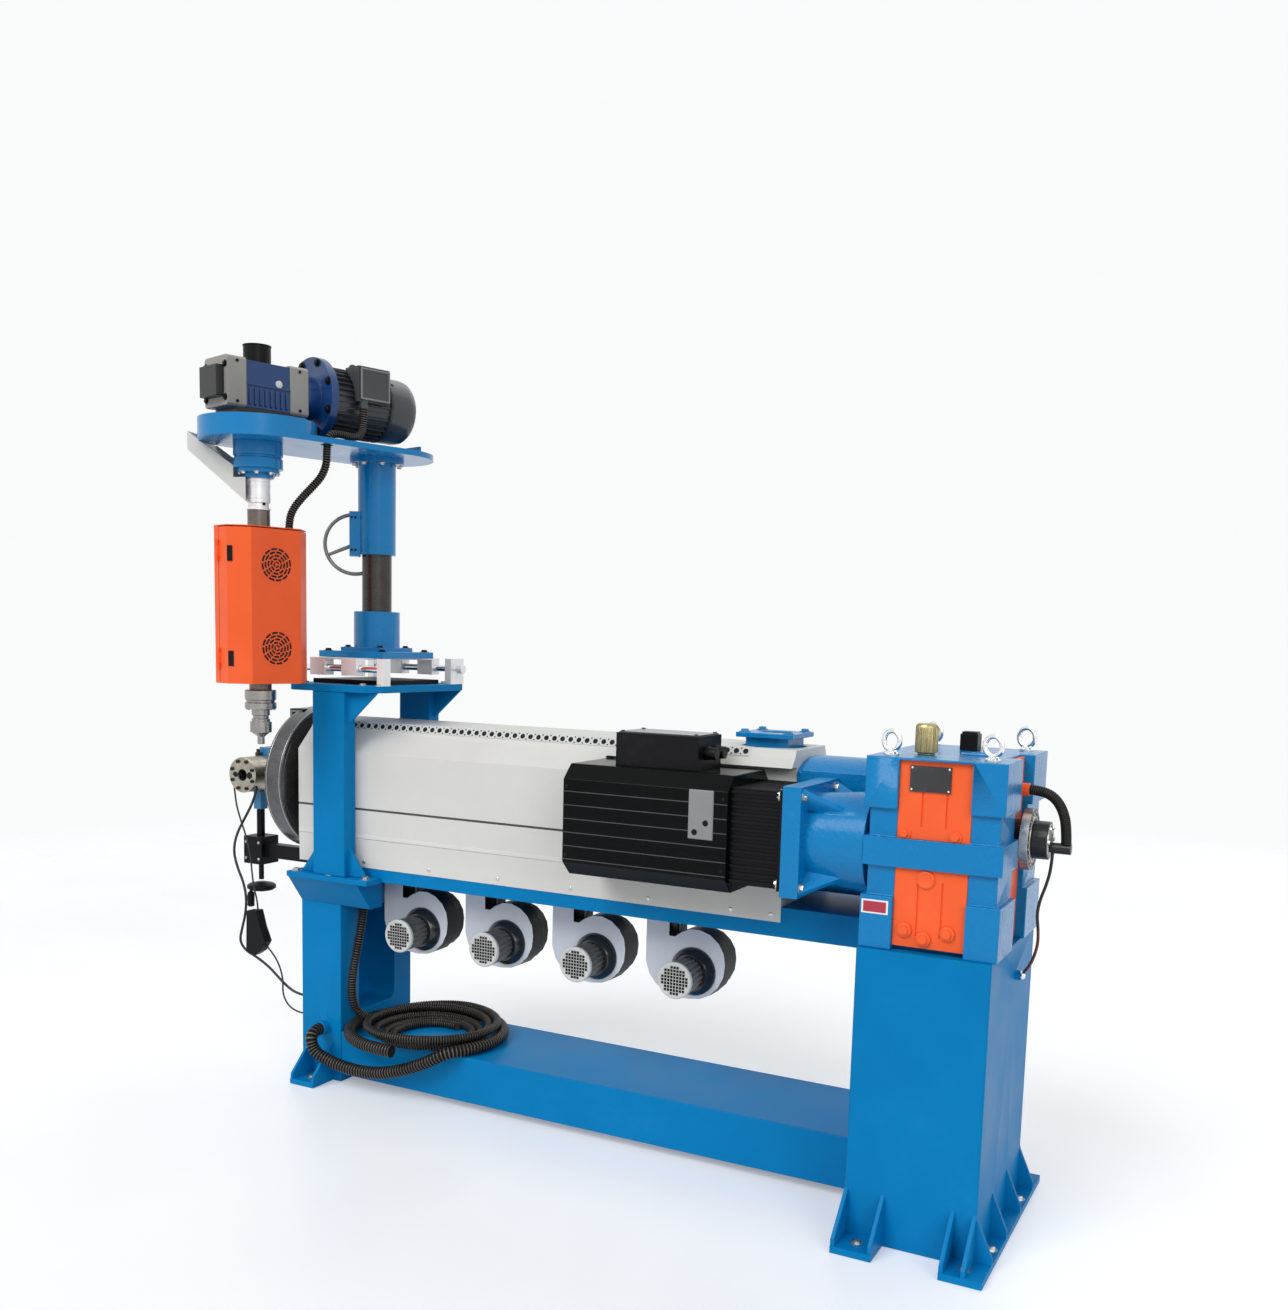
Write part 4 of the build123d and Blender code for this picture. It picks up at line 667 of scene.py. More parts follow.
class ExtruderSizes(bpy.types.PropertyGroup):
    """Sizes of the small fittings and of the view."""

    bolt: FloatProperty(name="Bolt", description="Width across a bolt head, in millimetres", default=20.0,
                        min=6.0, max=40.0)
    fins: IntProperty(name="Motor fins", description="Cooling fins round the small motor", default=34,
                      min=12, max=60)
    lens: FloatProperty(name="Lens", description="Focal length of the camera, in millimetres",
                        default=35.285, min=10.0, max=200.0)
    key: FloatProperty(name="Key light", description="Strength of the soft sun", default=1.52, min=0.0,
                       max=20.0)


def sizes():
    """The panel's sizes."""
    return bpy.context.scene.extruder_sizes


# The stage, as measured from the photograph: the camera's azimuth, height angle and roll in degrees, its
# place in metres and its shift, and each sun's name, angles, strength (the key's is the panel's) and spread

CAMERA_ANGLES = (27.69, 6.99, 1.44)
CAMERA_AT = (0.78874, -3.43452, 1.50138)
CAMERA_SHIFT = (0.00757, 0.10847)
SUNS = (("key", (48, 8, -28), None, 34.0), ("fill", (64, 0, 50), 0.80, 34.0),
        ("rim", (50, 0, 165), 0.40, 50.0))
SKY_SEEN = (0.955, 0.96, 0.965, 1)
SKY_LIGHT = (0.97, 0.99, 1.0, 1)
FLOOR_TONES = ((0.74, 0.75, 0.77), (0.80, 0.81, 0.82))
FLOOR_GLOW = (0.95, 0.97, 1.0, 1.0)
GLOW_STRENGTH = 0.30
FLOOR_FADE = (3.6, 8.0)


# Operators


def seen_rays(tree, path):
    """One for rays from the camera and rays mirrored or passed on by metal and glass, and zero for the
    rest."""
    mirrored = math_node(tree, "MAXIMUM", path.outputs["Is Glossy Ray"], path.outputs["Is Transmission Ray"])
    return math_node(tree, "MAXIMUM", path.outputs["Is Camera Ray"], mirrored)


class EXTRUDER_OT_stage(bpy.types.Operator):
    """Places the camera where the photograph was taken from, the plain light, and the pale floor."""

    bl_idname = "extruder.stage"
    bl_label = "Camera, Light and Floor"

    def execute(self, context):
        a, e, r = (math.radians(v) for v in CAMERA_ANGLES)
        back = np.array((math.sin(a) * math.cos(e), -math.cos(a) * math.cos(e), math.sin(e)))
        right = np.array((math.cos(a), math.sin(a), 0.0))
        up = np.cross(back, right)
        cam = bpy.data.cameras.new("camera")
        cam.lens, cam.sensor_width, cam.sensor_fit = sizes().lens, 36.0, "AUTO"
        cam.shift_x, cam.shift_y = CAMERA_SHIFT
        cam.clip_end = 100.0
        obj = bpy.data.objects.new("camera", cam)
        m = Matrix.Identity(4)
        for col, v in enumerate((math.cos(r) * right + math.sin(r) * up,
                                 -math.sin(r) * right + math.cos(r) * up, back)):
            for row in range(3):
                m[row][col] = v[row]
        m.translation = CAMERA_AT
        obj.matrix_world = m
        context.scene.collection.objects.link(obj)
        context.scene.camera = obj
        for name, angles, energy, spread in SUNS:
            sun = bpy.data.lights.new(name, "SUN")
            sun.energy, sun.angle = energy or sizes().key, math.radians(spread)
            lamp = bpy.data.objects.new(name, sun)
            lamp.rotation_euler = [math.radians(v) for v in angles]
            context.scene.collection.objects.link(lamp)
        world = bpy.data.worlds.new("world")
        context.scene.world = world
        world.use_nodes = True
        tree = world.node_tree
        tree.nodes.clear()
        out = node(tree, "ShaderNodeOutputWorld")
        seen = node(tree, "ShaderNodeBackground", inputs={0: SKY_SEEN, 1: 1.0})
        light = node(tree, "ShaderNodeBackground", inputs={0: SKY_LIGHT, 1: 0.40})
        ray = node(tree, "ShaderNodeLightPath")
        mix = node(tree, "ShaderNodeMixShader")
        tree.links.new(seen_rays(tree, ray), mix.inputs[0])
        tree.links.new(light.outputs[0], mix.inputs[1])
        tree.links.new(seen.outputs[0], mix.inputs[2])
        tree.links.new(mix.outputs[0], out.inputs[0])
        context.scene.view_settings.view_transform = "Standard"
        tree, s = new_material("floor")
        g = placed(tree, "paint_surface", Mottle_Scale=1.2)
        tree.links.new(mixed(tree, g.outputs["Mottle"], *FLOOR_TONES), s.inputs["Base Color"])
        s.inputs["Roughness"].default_value = 0.35
        s.inputs["Emission Color"].default_value = FLOOR_GLOW
        glow = node(tree, "ShaderNodeLightPath")
        tree.links.new(math_node(tree, "MULTIPLY", seen_rays(tree, glow), GLOW_STRENGTH),
                       s.inputs["Emission Strength"])
        pos = node(tree, "ShaderNodeTexCoord").outputs["Object"]
        reach = node(tree, "ShaderNodeVectorMath", operation="LENGTH")
        tree.links.new(pos, reach.inputs[0])
        clear = node(tree, "ShaderNodeBsdfTransparent")
        fade = node(tree, "ShaderNodeMixShader")
        tree.links.new(span_map(tree, reach.outputs["Value"], *FLOOR_FADE), fade.inputs[0])
        tree.links.new(s.outputs[0], fade.inputs[1])
        tree.links.new(clear.outputs[0], fade.inputs[2])
        tree.links.new(fade.outputs[0], tree.nodes["Material Output"].inputs["Surface"])
        floor = brick(-14000, 12000, -9000, 12000, -12.0, -1.0)
        mesh = bpy.data.meshes.new("floor")
        mesh.from_pydata((floor[0] * MM).tolist(), [], floor[1])
        give(mesh, "floor")
        ground = bpy.data.objects.new("floor", mesh)
        context.scene.collection.objects.link(ground)
        return {"FINISHED"}


class EXTRUDER_OT_stand(bpy.types.Operator):
    """Finishes the stand: pedestals, beam, bed, flare, posts and deck, with bevelled edges and blue paint."""

    bl_idname = "extruder.stand"
    bl_label = "Stand"

    def execute(self, context):
        for n, w in (("rear_pedestal", 3.0), ("front_pedestal", 3.0), ("base_beam", 4.0),
                     ("flare_bracket", 2.5), ("bed_frame", 2.5), ("portal_posts", 3.0), ("deck_plate", 2.0)):
            copied(n, "painted", "frame", "blue_paint", w)
        s = Surface()
        b = sizes().bolt
        for x, y in product((-114.5, 156.5), (163.5, -457.5)):
            s.bolt((x, y, 18), across=b, high=b * 0.4)
        for x, y in ((188, -322), (188, 18), (-2085.5, 238), (-2085.5, -238)):
            s.bolt((x, y, 18), across=b, high=b * 0.4)
        s.make("foot_bolts", "frame", "zinc_bolt", slot="rear_pedestal")
        s = Surface()
        for x, y in product((-2145, -2000, -1856), (-238, 238)):
            s.bolt((x, y, 715), across=b, high=b * 0.45)
        s.make("flare_bolts", "frame", "zinc_bolt", slot="flare_bracket")
        s = Surface()
        for x, y in product((-2175, -2120, -1885, -1820), (-215, 215)):
            s.bolt((x, y, 1335), across=b * 0.8, high=b * 0.35)
        s.make("deck_bolts", "frame", "zinc_bolt", slot="deck_plate")
        return {"FINISHED"}


class EXTRUDER_OT_slide(bpy.types.Operator):
    """Finishes the slide under the column: rods, bearings, blocks, knob, socket and black base, with
    their screws."""

    bl_idname = "extruder.slide"
    bl_label = "Slide"

    def execute(self, context):
        copied("slide_base", "black", "frame", "satin_black", 1.0)
        copied("slide_rails", "bright", "frame", ["aluminium", "chrome"], 1.2,
               paint=lambda c, n: ((np.abs(n[:, 0]) < 0.2) & (np.abs(np.abs(c[:, 1]) - 0.1985) < 0.017)
                                   & (c[:, 2] > 1.37)))
        copied("slide_knob", "bright", "knob", "aluminium", 1.2)
        copied("slide_carriage", "bright", "carriage", "aluminium", 1.2)
        copied("column_socket", "painted", "carriage", "arm_blue_paint", 2.0)
        s = Surface()
        for x, y in product((-2055, -2023, -1983, -1951), (-210, -186, 186, 210)):
            s.add(socket_screw((x, y, 1415), r=4.5, high=4))
        s.make("bearing_screws", "carriage", "satin_black", slot="slide_carriage")
        s = Surface()
        for x, y in product((-2115, -1891), (-112, 112)):
            s.bolt((x, y, 1441), across=17, high=8)
        for x, y in product((-2070, -1936), (-67, 67)):
            s.bolt((x, y, 1454), across=15, high=7)
        s.make("socket_bolts", "carriage", "satin_black", slot="column_socket")
        return {"FINISHED"}


class EXTRUDER_OT_arm(bpy.types.Operator):
    """Finishes the column, the lift sleeve with its handwheel, and the swinging arm plate."""

    bl_idname = "extruder.arm"
    bl_label = "Column and Arm"

    def execute(self, context):
        copied("column_tube", "oiled", "column", "oiled_steel", 0.0)
        copied("lift_sleeve", "painted", "arm", "arm_blue_paint", 2.0)
        copied("arm_plate", "painted", "arm", "arm_blue_paint", 2.0)
        s = Surface()
        for c, t in around(8, 22.5):
            s.bolt((75 * c, 75 * t, 2052), DOWN, 13, 8)
        s.make("sleeve_bolts", "arm", "zinc_bolt", arm=True, slot="lift_sleeve")
        turn = rotation(UP, math.radians(-36.0))
        centre = np.array((-75.0, 90.0, 1797.0))
        s = Surface()
        profile = [(7.9, -59), (7.9, -18), (15, -17), (15, 14), (12, 16.8), (4, 16.8)]
        s.add(lathe(profile, centre, BACK, 28), turn=turn)
        s.add(torus(98.5, 6.4, centre, BACK, 72, 12), turn=turn)
        for c, t in around(3, 247):
            out = np.array((t, 0.0, c))
            path = [centre + out * w * 97 + np.array((0, -3.0 * math.sin(w * math.pi), 0))
                    for w in np.linspace(0.1, 1, 9)]
            s.add(carried(path, np.linspace(7.0, 5.5, 9), 10), turn=turn)
        s.make("lift_handwheel_grey", "lift_wheel", "fan_metal", arm=True, slot="lift_handwheel", own=True)
        s = Surface()
        for z, x in product((1772, 1877), (-81, -69)):
            s.add(socket_screw((x, -30, z), FRONT, 4, 3), turn=turn)
        s.make("bracket_screws", "arm", "satin_black", arm=True, slot="lift_sleeve")
        return {"FINISHED"}


class EXTRUDER_OT_injector(bpy.types.Operator):
    """Builds the upright injector: bearing, feed section, barrel, collar and nozzle, and its cream
    feed chute."""

    bl_idname = "extruder.injector"
    bl_label = "Injector"

    def execute(self, context):
        at = (TIP_X, 0, 0)
        s = Surface()
        profile = [(40, 1962), (46, 1962.5), (46, 1977), (63, 1977.5), (64, 1979), (64, 1989), (73, 1990),
                   (74, 1992), (74, 2020), (70, 2022), (70, 2027), (74, 2029), (74, 2069.8), (40, 2069.8)]
        s.add(lathe(profile, at, sides=56))
        s.make("injector_bearing_painted", "arm", "arm_blue_paint", arm=True, slot="injector_bearing",
               own=True, bevel=0.8)
        s = Surface()
        for c, t in around(8, 10):
            s.bolt((TIP_X + 56 * c, 56 * t, 1978), DOWN, 11, 7)
        s.make("bearing_bolts", "arm", "zinc_bolt", arm=True, slot="injector_bearing")
        s = Surface()
        s.add(lathe([(20, 1317.2), (33.9, 1317.4), (33.9, 1866), (20, 1866)], at, sides=48), 0)
        profile = [(20, 1866), (35.9, 1867), (35.9, 1872), (31, 1873), (31, 1888), (35, 1889), (35, 1951),
                   (35.9, 1952), (35.9, 1961.8), (20, 1961.8)]
        s.add(lathe(profile, at, sides=48), 1)
        for z in (1904, 1942):
            s.add(ring_shape([(34.5, z - 4), (35.9, z - 4), (35.9, z + 4), (34.5, z + 4)], at), 1)
        for z in (1885, 1920):
            s.add(lathe([(5, 0), (5, 3), (3, 4)], (TIP_X, -30.5, z), FRONT, 10), 2)
        s.make("injector_barrel_bright", "arm", ["browned_steel", "aluminium", "satin_black"], arm=True,
               slot="injector_barrel", own=True, bevel=0.6)
        s = Surface()
        profile = [(8, 1146.2), (11, 1147), (11, 1170), (27, 1183.4), (33, 1184), (33, 1217), (28, 1218),
                   (28, 1226), (24, 1228), (24, 1236), (28, 1238), (28, 1257), (47, 1258), (48, 1260),
                   (48, 1276), (44, 1279), (44, 1284), (48, 1287), (48, 1315), (46, 1316.8), (8, 1316.8)]
        s.add(lathe(profile, at, sides=48))
        for c, t in around(10):
            s.add(socket_screw((TIP_X + 41 * c, 41 * t, 1258.2), DOWN, 4, 4))
        s.make("injector_nozzle_bright", "arm", "nozzle_steel", arm=True, slot="injector_nozzle", own=True,
               bevel=0.6)
        copied("feed_chute", "cream", "arm", "cover_paint", 1.2)
        return {"FINISHED"}


class EXTRUDER_OT_guard(bpy.types.Operator):
    """Finishes the orange guard, with round grilles whose slots are painted shade, its latches and its
    rivets.
    """

    bl_idname = "extruder.guard"
    bl_label = "Guard"

    def execute(self, context):
        copied("guard_back", "painted", "arm", "orange_paint", 1.5)
        copied("guard_door", "painted", "door", "orange_paint", 1.5)
        dark, lip = Surface(), Surface()
        # The grilles' slots are near-black arcs laid on the door: painted shade in the openings
        for z in (1448.0, 1700.0):
            at = (TIP_X, -99.9, z)
            for ring, (r0, r1, n) in enumerate(((5, 10, 3), (14, 20, 6), (24, 30, 8), (34, 40, 10),
                                                (44, 50, 12))):
                for k in range(n):
                    a0 = 2 * math.pi * (k + 0.10 + 0.2 * ring) / n
                    a = np.linspace(a0, a0 + 2 * math.pi * 0.80 / n, 9)
                    outer = np.column_stack((at[0] + r1 * np.cos(a), z + r1 * np.sin(a)))
                    inner = np.column_stack((at[0] + r0 * np.cos(a), z + r0 * np.sin(a)))[::-1]
                    dark.add(slab(np.vstack((outer, inner)), -100.5, -99.0, "y"))
            lip.add(torus(57, 1.2, at, BACK, 56, 8))
        dark.make("guard_slot_shade", "door", "hole_black", arm=True, slot="guard_door")
        for z in (1560.0, 1600.0):
            lip.add(lathe([(3.2, 0), (3.2, 1.2), (2, 2)], (TIP_X - 62, -100, z), FRONT, 12))
        lip.make("guard_rims", "door", "orange_paint", arm=True, slot="guard_door")
        s = Surface()
        slant = np.array((-1.0, -1.0, 0.0)) / math.sqrt(2)
        face = np.column_stack((np.array((1.0, -1.0, 0.0)) / math.sqrt(2), UP, slant))
        for z in (1415.0, 1728.0):
            s.add(slab(square(0, 0, 8, 23), -0.5, 2.5), turn=face, move=(-564.2, -54.8, z))
        s.make("guard_fittings", "door", "satin_black", arm=True, slot="guard_door", bevel=1.0)
        return {"FINISHED"}


class EXTRUDER_OT_reducer(bpy.types.Operator):
    """Builds the small right-angle reducer with its ribs, bolts and cap, and its finned motor with the
    terminal box."""

    bl_idname = "extruder.reducer"
    bl_label = "Reducer and Motor"

    def execute(self, context):
        copied("reducer_core", "painted", "arm", ["deep_blue_paint", "satin_black"], 3.0,
               paint=lambda c, n: (c[:, 2] > 2.2965))
        heading = rotation(UP, ARM_TURN)
        copied("reducer_caps", "painted", "arm", ["reducer_grey", "cast_black"], 3.0,
               paint=lambda c, n: ((c - (COLUMN_X * MM, 0, 0)) @ heading)[:, 0] < -0.5725)
        copied("reducer_base", "black", "arm", "cast_black", 2.0)
        copied("motor_flange", "painted", "arm", "deep_blue_paint", 1.5)
        s = Surface()
        for side in (-1, 1):
            for k in range(8):
                x = -500 + 17.5 * k
                rib = [(side * 64, 2166), (side * 69, 2170), (side * 69, 2212), (side * 64, 2222)]
                s.add(slab(rib, x, x + 5, "x"))
            s.add(slab([(-508, 2224), (-362, 2224), (-362, 2230), (-508, 2230)],
                       *sorted((side * 64, side * 68)), "y"))
        s.make("reducer_ribs", "arm", "deep_blue_paint", arm=True, slot="reducer_core", bevel=1.2)
        s = Surface()
        for side, x in product((-1, 1), (-540, -330)):
            for z in (2172, 2288):
                s.add(socket_screw((x, side * 67.3, z), (0, side, 0), 4.5, 4))
        for z, y in product((2180, 2276), (-44, 44)):
            s.bolt((-571.5, y * 1.28, z), LEFT, 12, 7)
        for c, t in around(8, 22.5):
            s.bolt((-252, 112 * c, REDUCER_H + 112 * t), LEFT, 15, 9)
        s.make("reducer_bolts", "arm", "satin_black", arm=True, slot="reducer_caps")
        s = Surface()
        profile = [(41, 2352), (42.5, 2353), (42.5, 2355.9), (36, 2355.9), (35, 2351), (4, 2351)]
        s.add(lathe(profile, (TIP_X, 0, 0), sides=40))
        s.make("pipe_rim", "arm", "satin_black", arm=True, slot="reducer_core")
        s = Surface()
        s.add(lathe([(11, 0), (11, 3), (8, 4.5), (2, 4.5)], (-400, -64, 2240), FRONT, 24))
        s.make("level_plug", "arm", "white_plastic", arm=True, slot="reducer_core")
        mid = (0, 0, REDUCER_H)
        s = Surface()
        profile = [(30, -226), (94, -225.5), (94, -16), (101, -15), (104, -12), (104, 60), (101, 78),
                   (94, 88), (60, 91.5), (20, 91.5)]
        s.add(lathe(profile, mid, RIGHT, 56))
        n = sizes().fins
        for k in range(n):
            a = 2 * math.pi * (k + 0.5) / n
            radial = np.array((0, math.cos(a), math.sin(a)))
            side = np.array((0, -math.sin(a), math.cos(a)))
            foot = [mid + radial * 92 + side * w for w in (-2.2, 2.2)]
            crest = [mid + radial * 105.8 + side * w for w in (1.3, -1.3)]
            pts = np.array([[p + np.array((x, 0, 0)) for p in foot + crest] for x in (-216.0, -20.0)])
            s.add(grid(pts))
        s.make("injector_motor_finned", "arm", "motor_grey", arm=True, slot="injector_motor", own=True,
               bevel=0.5, segments=1)
        s = Surface()
        s.add(ring_shape([(104, -10), (105.5, -9), (105.5, -3), (104, -2)], mid, RIGHT, 56))
        for c, t in around(4, 45):
            s.add(lathe([(6, 0), (6, 2), (3, 3)], (8, 104 * c, REDUCER_H + 104 * t), (0, c, t), 12))
        for r in (22, 38, 54, 70):
            s.add(torus(r, 1.6, (91.8, 0, REDUCER_H), RIGHT, 40, 8))
        s.make("motor_cowl_trim", "arm", "motor_grey", arm=True, slot="injector_motor")
        s = Surface()
        s.add(torus(13, 4.5, (-100, -10, 2338), BACK, 24, 10))
        s.make("motor_lug", "arm", "motor_grey", arm=True, slot="injector_motor")
        copied("injector_terminal_box", "grey", "arm", "box_grey", 3.0)
        s = Surface()
        s.add(ring_rect(-152, -44, 2228, 2324, -135, -131, 5, "y"))
        s.make("injector_box_lid", "arm", "frame_grey", arm=True, slot="injector_terminal_box", bevel=0.8)
        return {"FINISHED"}


class EXTRUDER_OT_head(bpy.types.Operator):
    """Finishes the crosshead, its inlet, the clamp with ribs and screws, and the head's terminal box."""

    bl_idname = "extruder.head"
    bl_label = "Crosshead and Clamp"

    def execute(self, context):
        copied("crosshead", "steel", "frame", "tarnished_steel", 1.5)
        copied("inlet_block", "steel", "frame", ["machined_steel", "tag_blue"], 2.0,
               paint=lambda c, n: (c[:, 1] < 0) & (np.abs(n[:, 1]) > 0.7))
        copied("head_clamp", "steel", "frame", "clamp_steel", 1.5)
        copied("clamp_band", "steel", "frame", "clamp_steel", 1.5)
        copied("head_terminal_box", "black", "frame", "satin_black", 3.0)
        s = Surface()
        s.add(ring_rect(-2308, -2258, 1135, 1233, -83.6, -80, 6, "y"))
        s.make("head_box_frame", "frame", "frame_grey", slot="head_terminal_box", bevel=0.8)
        bolts, dark, edge = Surface(), Surface(), Surface()
        for c, t in around(8, 22.5):
            bolts.add(socket_screw((HEAD_X + 50 * c, -HEAD_HALF, AXIS_H + 50 * t), FRONT, 6.5, 6))
            bolts.add(socket_screw((HEAD_X + 50 * c, HEAD_HALF, AXIS_H + 50 * t), BACK, 6.5, 6))
        for y, z in product((-100, -60, 60, 100), (-22, 22)):
            n = np.array((-math.cos(math.asin(z / 62)), 0, z / 62))
            bolts.add(socket_screw(np.array((HEAD_X, y, AXIS_H)) + n * 61.8, n, 6, 5))
        profile = [(10, 0), (10, 12), (8, 14), (6, 14), (6, 24), (4, 26), (1, 26)]
        bolts.add(lathe(profile, (HEAD_X - 20, -40, 1058), UP, 16))
        for c, t in around(12, 15):
            edge.add(lathe([(8, -8), (8, 0), (6, 2), (2, 2)], (-2263, 165 * c, AXIS_H + 165 * t), LEFT, 6))
        for c, t in around(24, 7.5):
            edge.add(slab([(232, -2278.5), (243, -2278.5), (243, -2274), (232, -2274)], -5, 5, "y"),
                     turn=np.column_stack(((0, c, t), (0, -t, c), RIGHT)), move=(0, 0, AXIS_H))
        for r, x in ((244.2, -2270), (244.2, -2214)):
            edge.add(torus(r, 1.4, (x, 0, AXIS_H), RIGHT, 96, 8))
        # Near-black discs in two holes of the crosshead's faces: painted shade in the holes
        for x, r in ((33, 12), (-30, 9)):
            dark.add(lathe([(r, -0.5), (r, 0.4), (1, 0.4)], (HEAD_X + x, -HEAD_HALF, AXIS_H), FRONT, 24))
        bolts.make("crosshead_screws", "frame", "oiled_steel", slot="crosshead")
        edge.make("clamp_fittings", "frame", "machined_steel", slot="head_clamp")
        # A near-black ring inside the bore's mouth: painted shade
        dark.add(ring_shape([(18.2, -137.4), (21, -137.4), (21, -136.8), (18.2, -136.8)],
                            (HEAD_X, 0, AXIS_H), BACK, 32))
        dark.make("bore_shade", "frame", "hole_black", slot="crosshead")
        return {"FINISHED"}


class EXTRUDER_OT_jack(bpy.types.Operator):
    """Finishes the jack under the crosshead: block, post with blue tag, threaded screw and handwheel
    with its grip."""

    bl_idname = "extruder.jack"
    bl_label = "Jack"

    def execute(self, context):
        copied("jack_block", "black", "frame", "satin_black", 2.5)
        copied("jack_post", "steel", "jack", ["machined_steel", "tag_blue", "satin_black"], 0.8,
               paint=lambda c, n: np.where(c[:, 2] > 0.938, 0, np.where(c[:, 2] > 0.872, 1, 2)))
        at = (HEAD_X, JACK_Y, 0)
        s = Surface()
        profile = [(14, 576.2), (16, 576.5), (20, 580), (42, 582), (49, 588), (50, 593), (49, 599),
                   (42, 604), (24, 606), (18, 609.8), (9.8, 609.8)]
        s.add(lathe(profile, at, sides=56))
        grip = (HEAD_X - 26, -76, 0)
        s.add(lathe([(5, 588), (5, 576), (11, 572), (13, 560), (12, 534), (13, 526), (9, 521.3),
                     (2, 521.1)][::-1], grip, sides=24))
        for c, t in around(30):
            s.add(lathe([(2.2, -6), (2.2, 6)], (HEAD_X + 48 * c, JACK_Y + 48 * t, 593), UP, 8))
        s.make("jack_handwheel_black", "jack_wheel", "satin_black", slot="jack_handwheel", own=True,
               bevel=0.5)
        s = Surface()
        for x, y in ((-30, -30), (30, -30)):
            for z in (700, 758):
                s.add(socket_screw((HEAD_X + x, -92.2, z), FRONT, 5, 4))
        s.make("jack_screws", "frame", "zinc_bolt", slot="jack_block")
        return {"FINISHED"}


class EXTRUDER_OT_barrel(bpy.types.Operator):
    """Finishes the barrel cover, with the perforated strips along its ridge, and the screws along its
    lower edge."""

    bl_idname = "extruder.barrel"
    bl_label = "Barrel Cover"

    def execute(self, context):
        copied("barrel_cover", "painted", "frame", "cover_paint", 1.5, angle=20.0)
        copied("thrust_housing", "painted", "frame", "hammered_blue", 2.5)
        copied("feed_throat", "painted", "frame", "hammered_blue", 3.0)
        for side, label in ((-1, "near"), (1, "far")):
            lo, hi = np.array((127.0, 1186.0)), np.array((115.0, 1211.0))
            along = (hi - lo) / np.linalg.norm(hi - lo)
            out = np.array((along[1], -along[0]))
            base, holes = Surface(), Surface()
            strip = [lo + along * w + out * h for w, h in ((1.5, 2.3), (26, 2.3), (26, 3.0), (1.5, 3.0))]
            base.add(slab([(side * p[0], p[1]) for p in strip], -2004, -588, "x"))
            n = np.array((0, side * out[0], out[1]))
            mid = lo + along * 13.8 + out * 3.05
            count = 50
            # The strips' holes are near-black discs: painted shade in the openings
            for k in range(count):
                x = -1992 + 1392 * k / (count - 1)
                holes.add(lathe([(8.2, -0.5), (8.2, 0.15), (1, 0.15)], (x, side * mid[0], mid[1]), n, 14))
                if k < count - 1:
                    for w in (-1, 1):
                        c = lo + along * (13.8 + 8.5 * w) + out * 3.05
                        profile = [(2.6, -0.5), (2.6, 0.12), (0.5, 0.12)]
                        holes.add(lathe(profile, (x + 14.2, side * c[0], c[1]), n, 8))
            base.make("strip_" + label, "frame", "cap_grey", slot="barrel_cover")
            holes.make("strip_hole_shade_" + label, "frame", "hole_black", slot="barrel_cover")
        s = Surface()
        for side, x in product((-1, 1), (-1900, -1640, -1380, -1120, -860, -600, -480)):
            s.add(lathe([(6, -0.5), (6, 1.5), (4, 3), (1.2, 3)], (x, side * 190.5, 762), (0, side, 0), 16))
        s.make("cover_screws", "frame", "zinc_bolt", slot="barrel_cover")
        lip, gap = Surface(), Surface()
        for side in (-1, 1):
            fold = [(side * y, z) for y, z in ((192.5, 854), (195.4, 843), (195.4, 839), (191.5, 835))]
            line = [(side * y, z)
                    for y, z in ((188.6, 930.4), (190.6, 930.4), (190.6, 936.6), (188.6, 936.6))]
            end = -1037 if side < 0 else -456
            lip.add(slab(fold, -2172, end, "x"))
            gap.add(slab(line, -2172, end, "x"))
        lip.make("cover_lips", "frame", "cover_paint", slot="barrel_cover", bevel=0.8)
        gap.make("cover_seams", "frame", "box_grey", slot="barrel_cover")
        s = Surface()
        for x, y in product((-629, -497), (-66, 66)):
            s.bolt((x, y, 1250), across=19, high=9)
        s.make("throat_bolts", "frame", "tag_blue", slot="feed_throat")
        return {"FINISHED"}


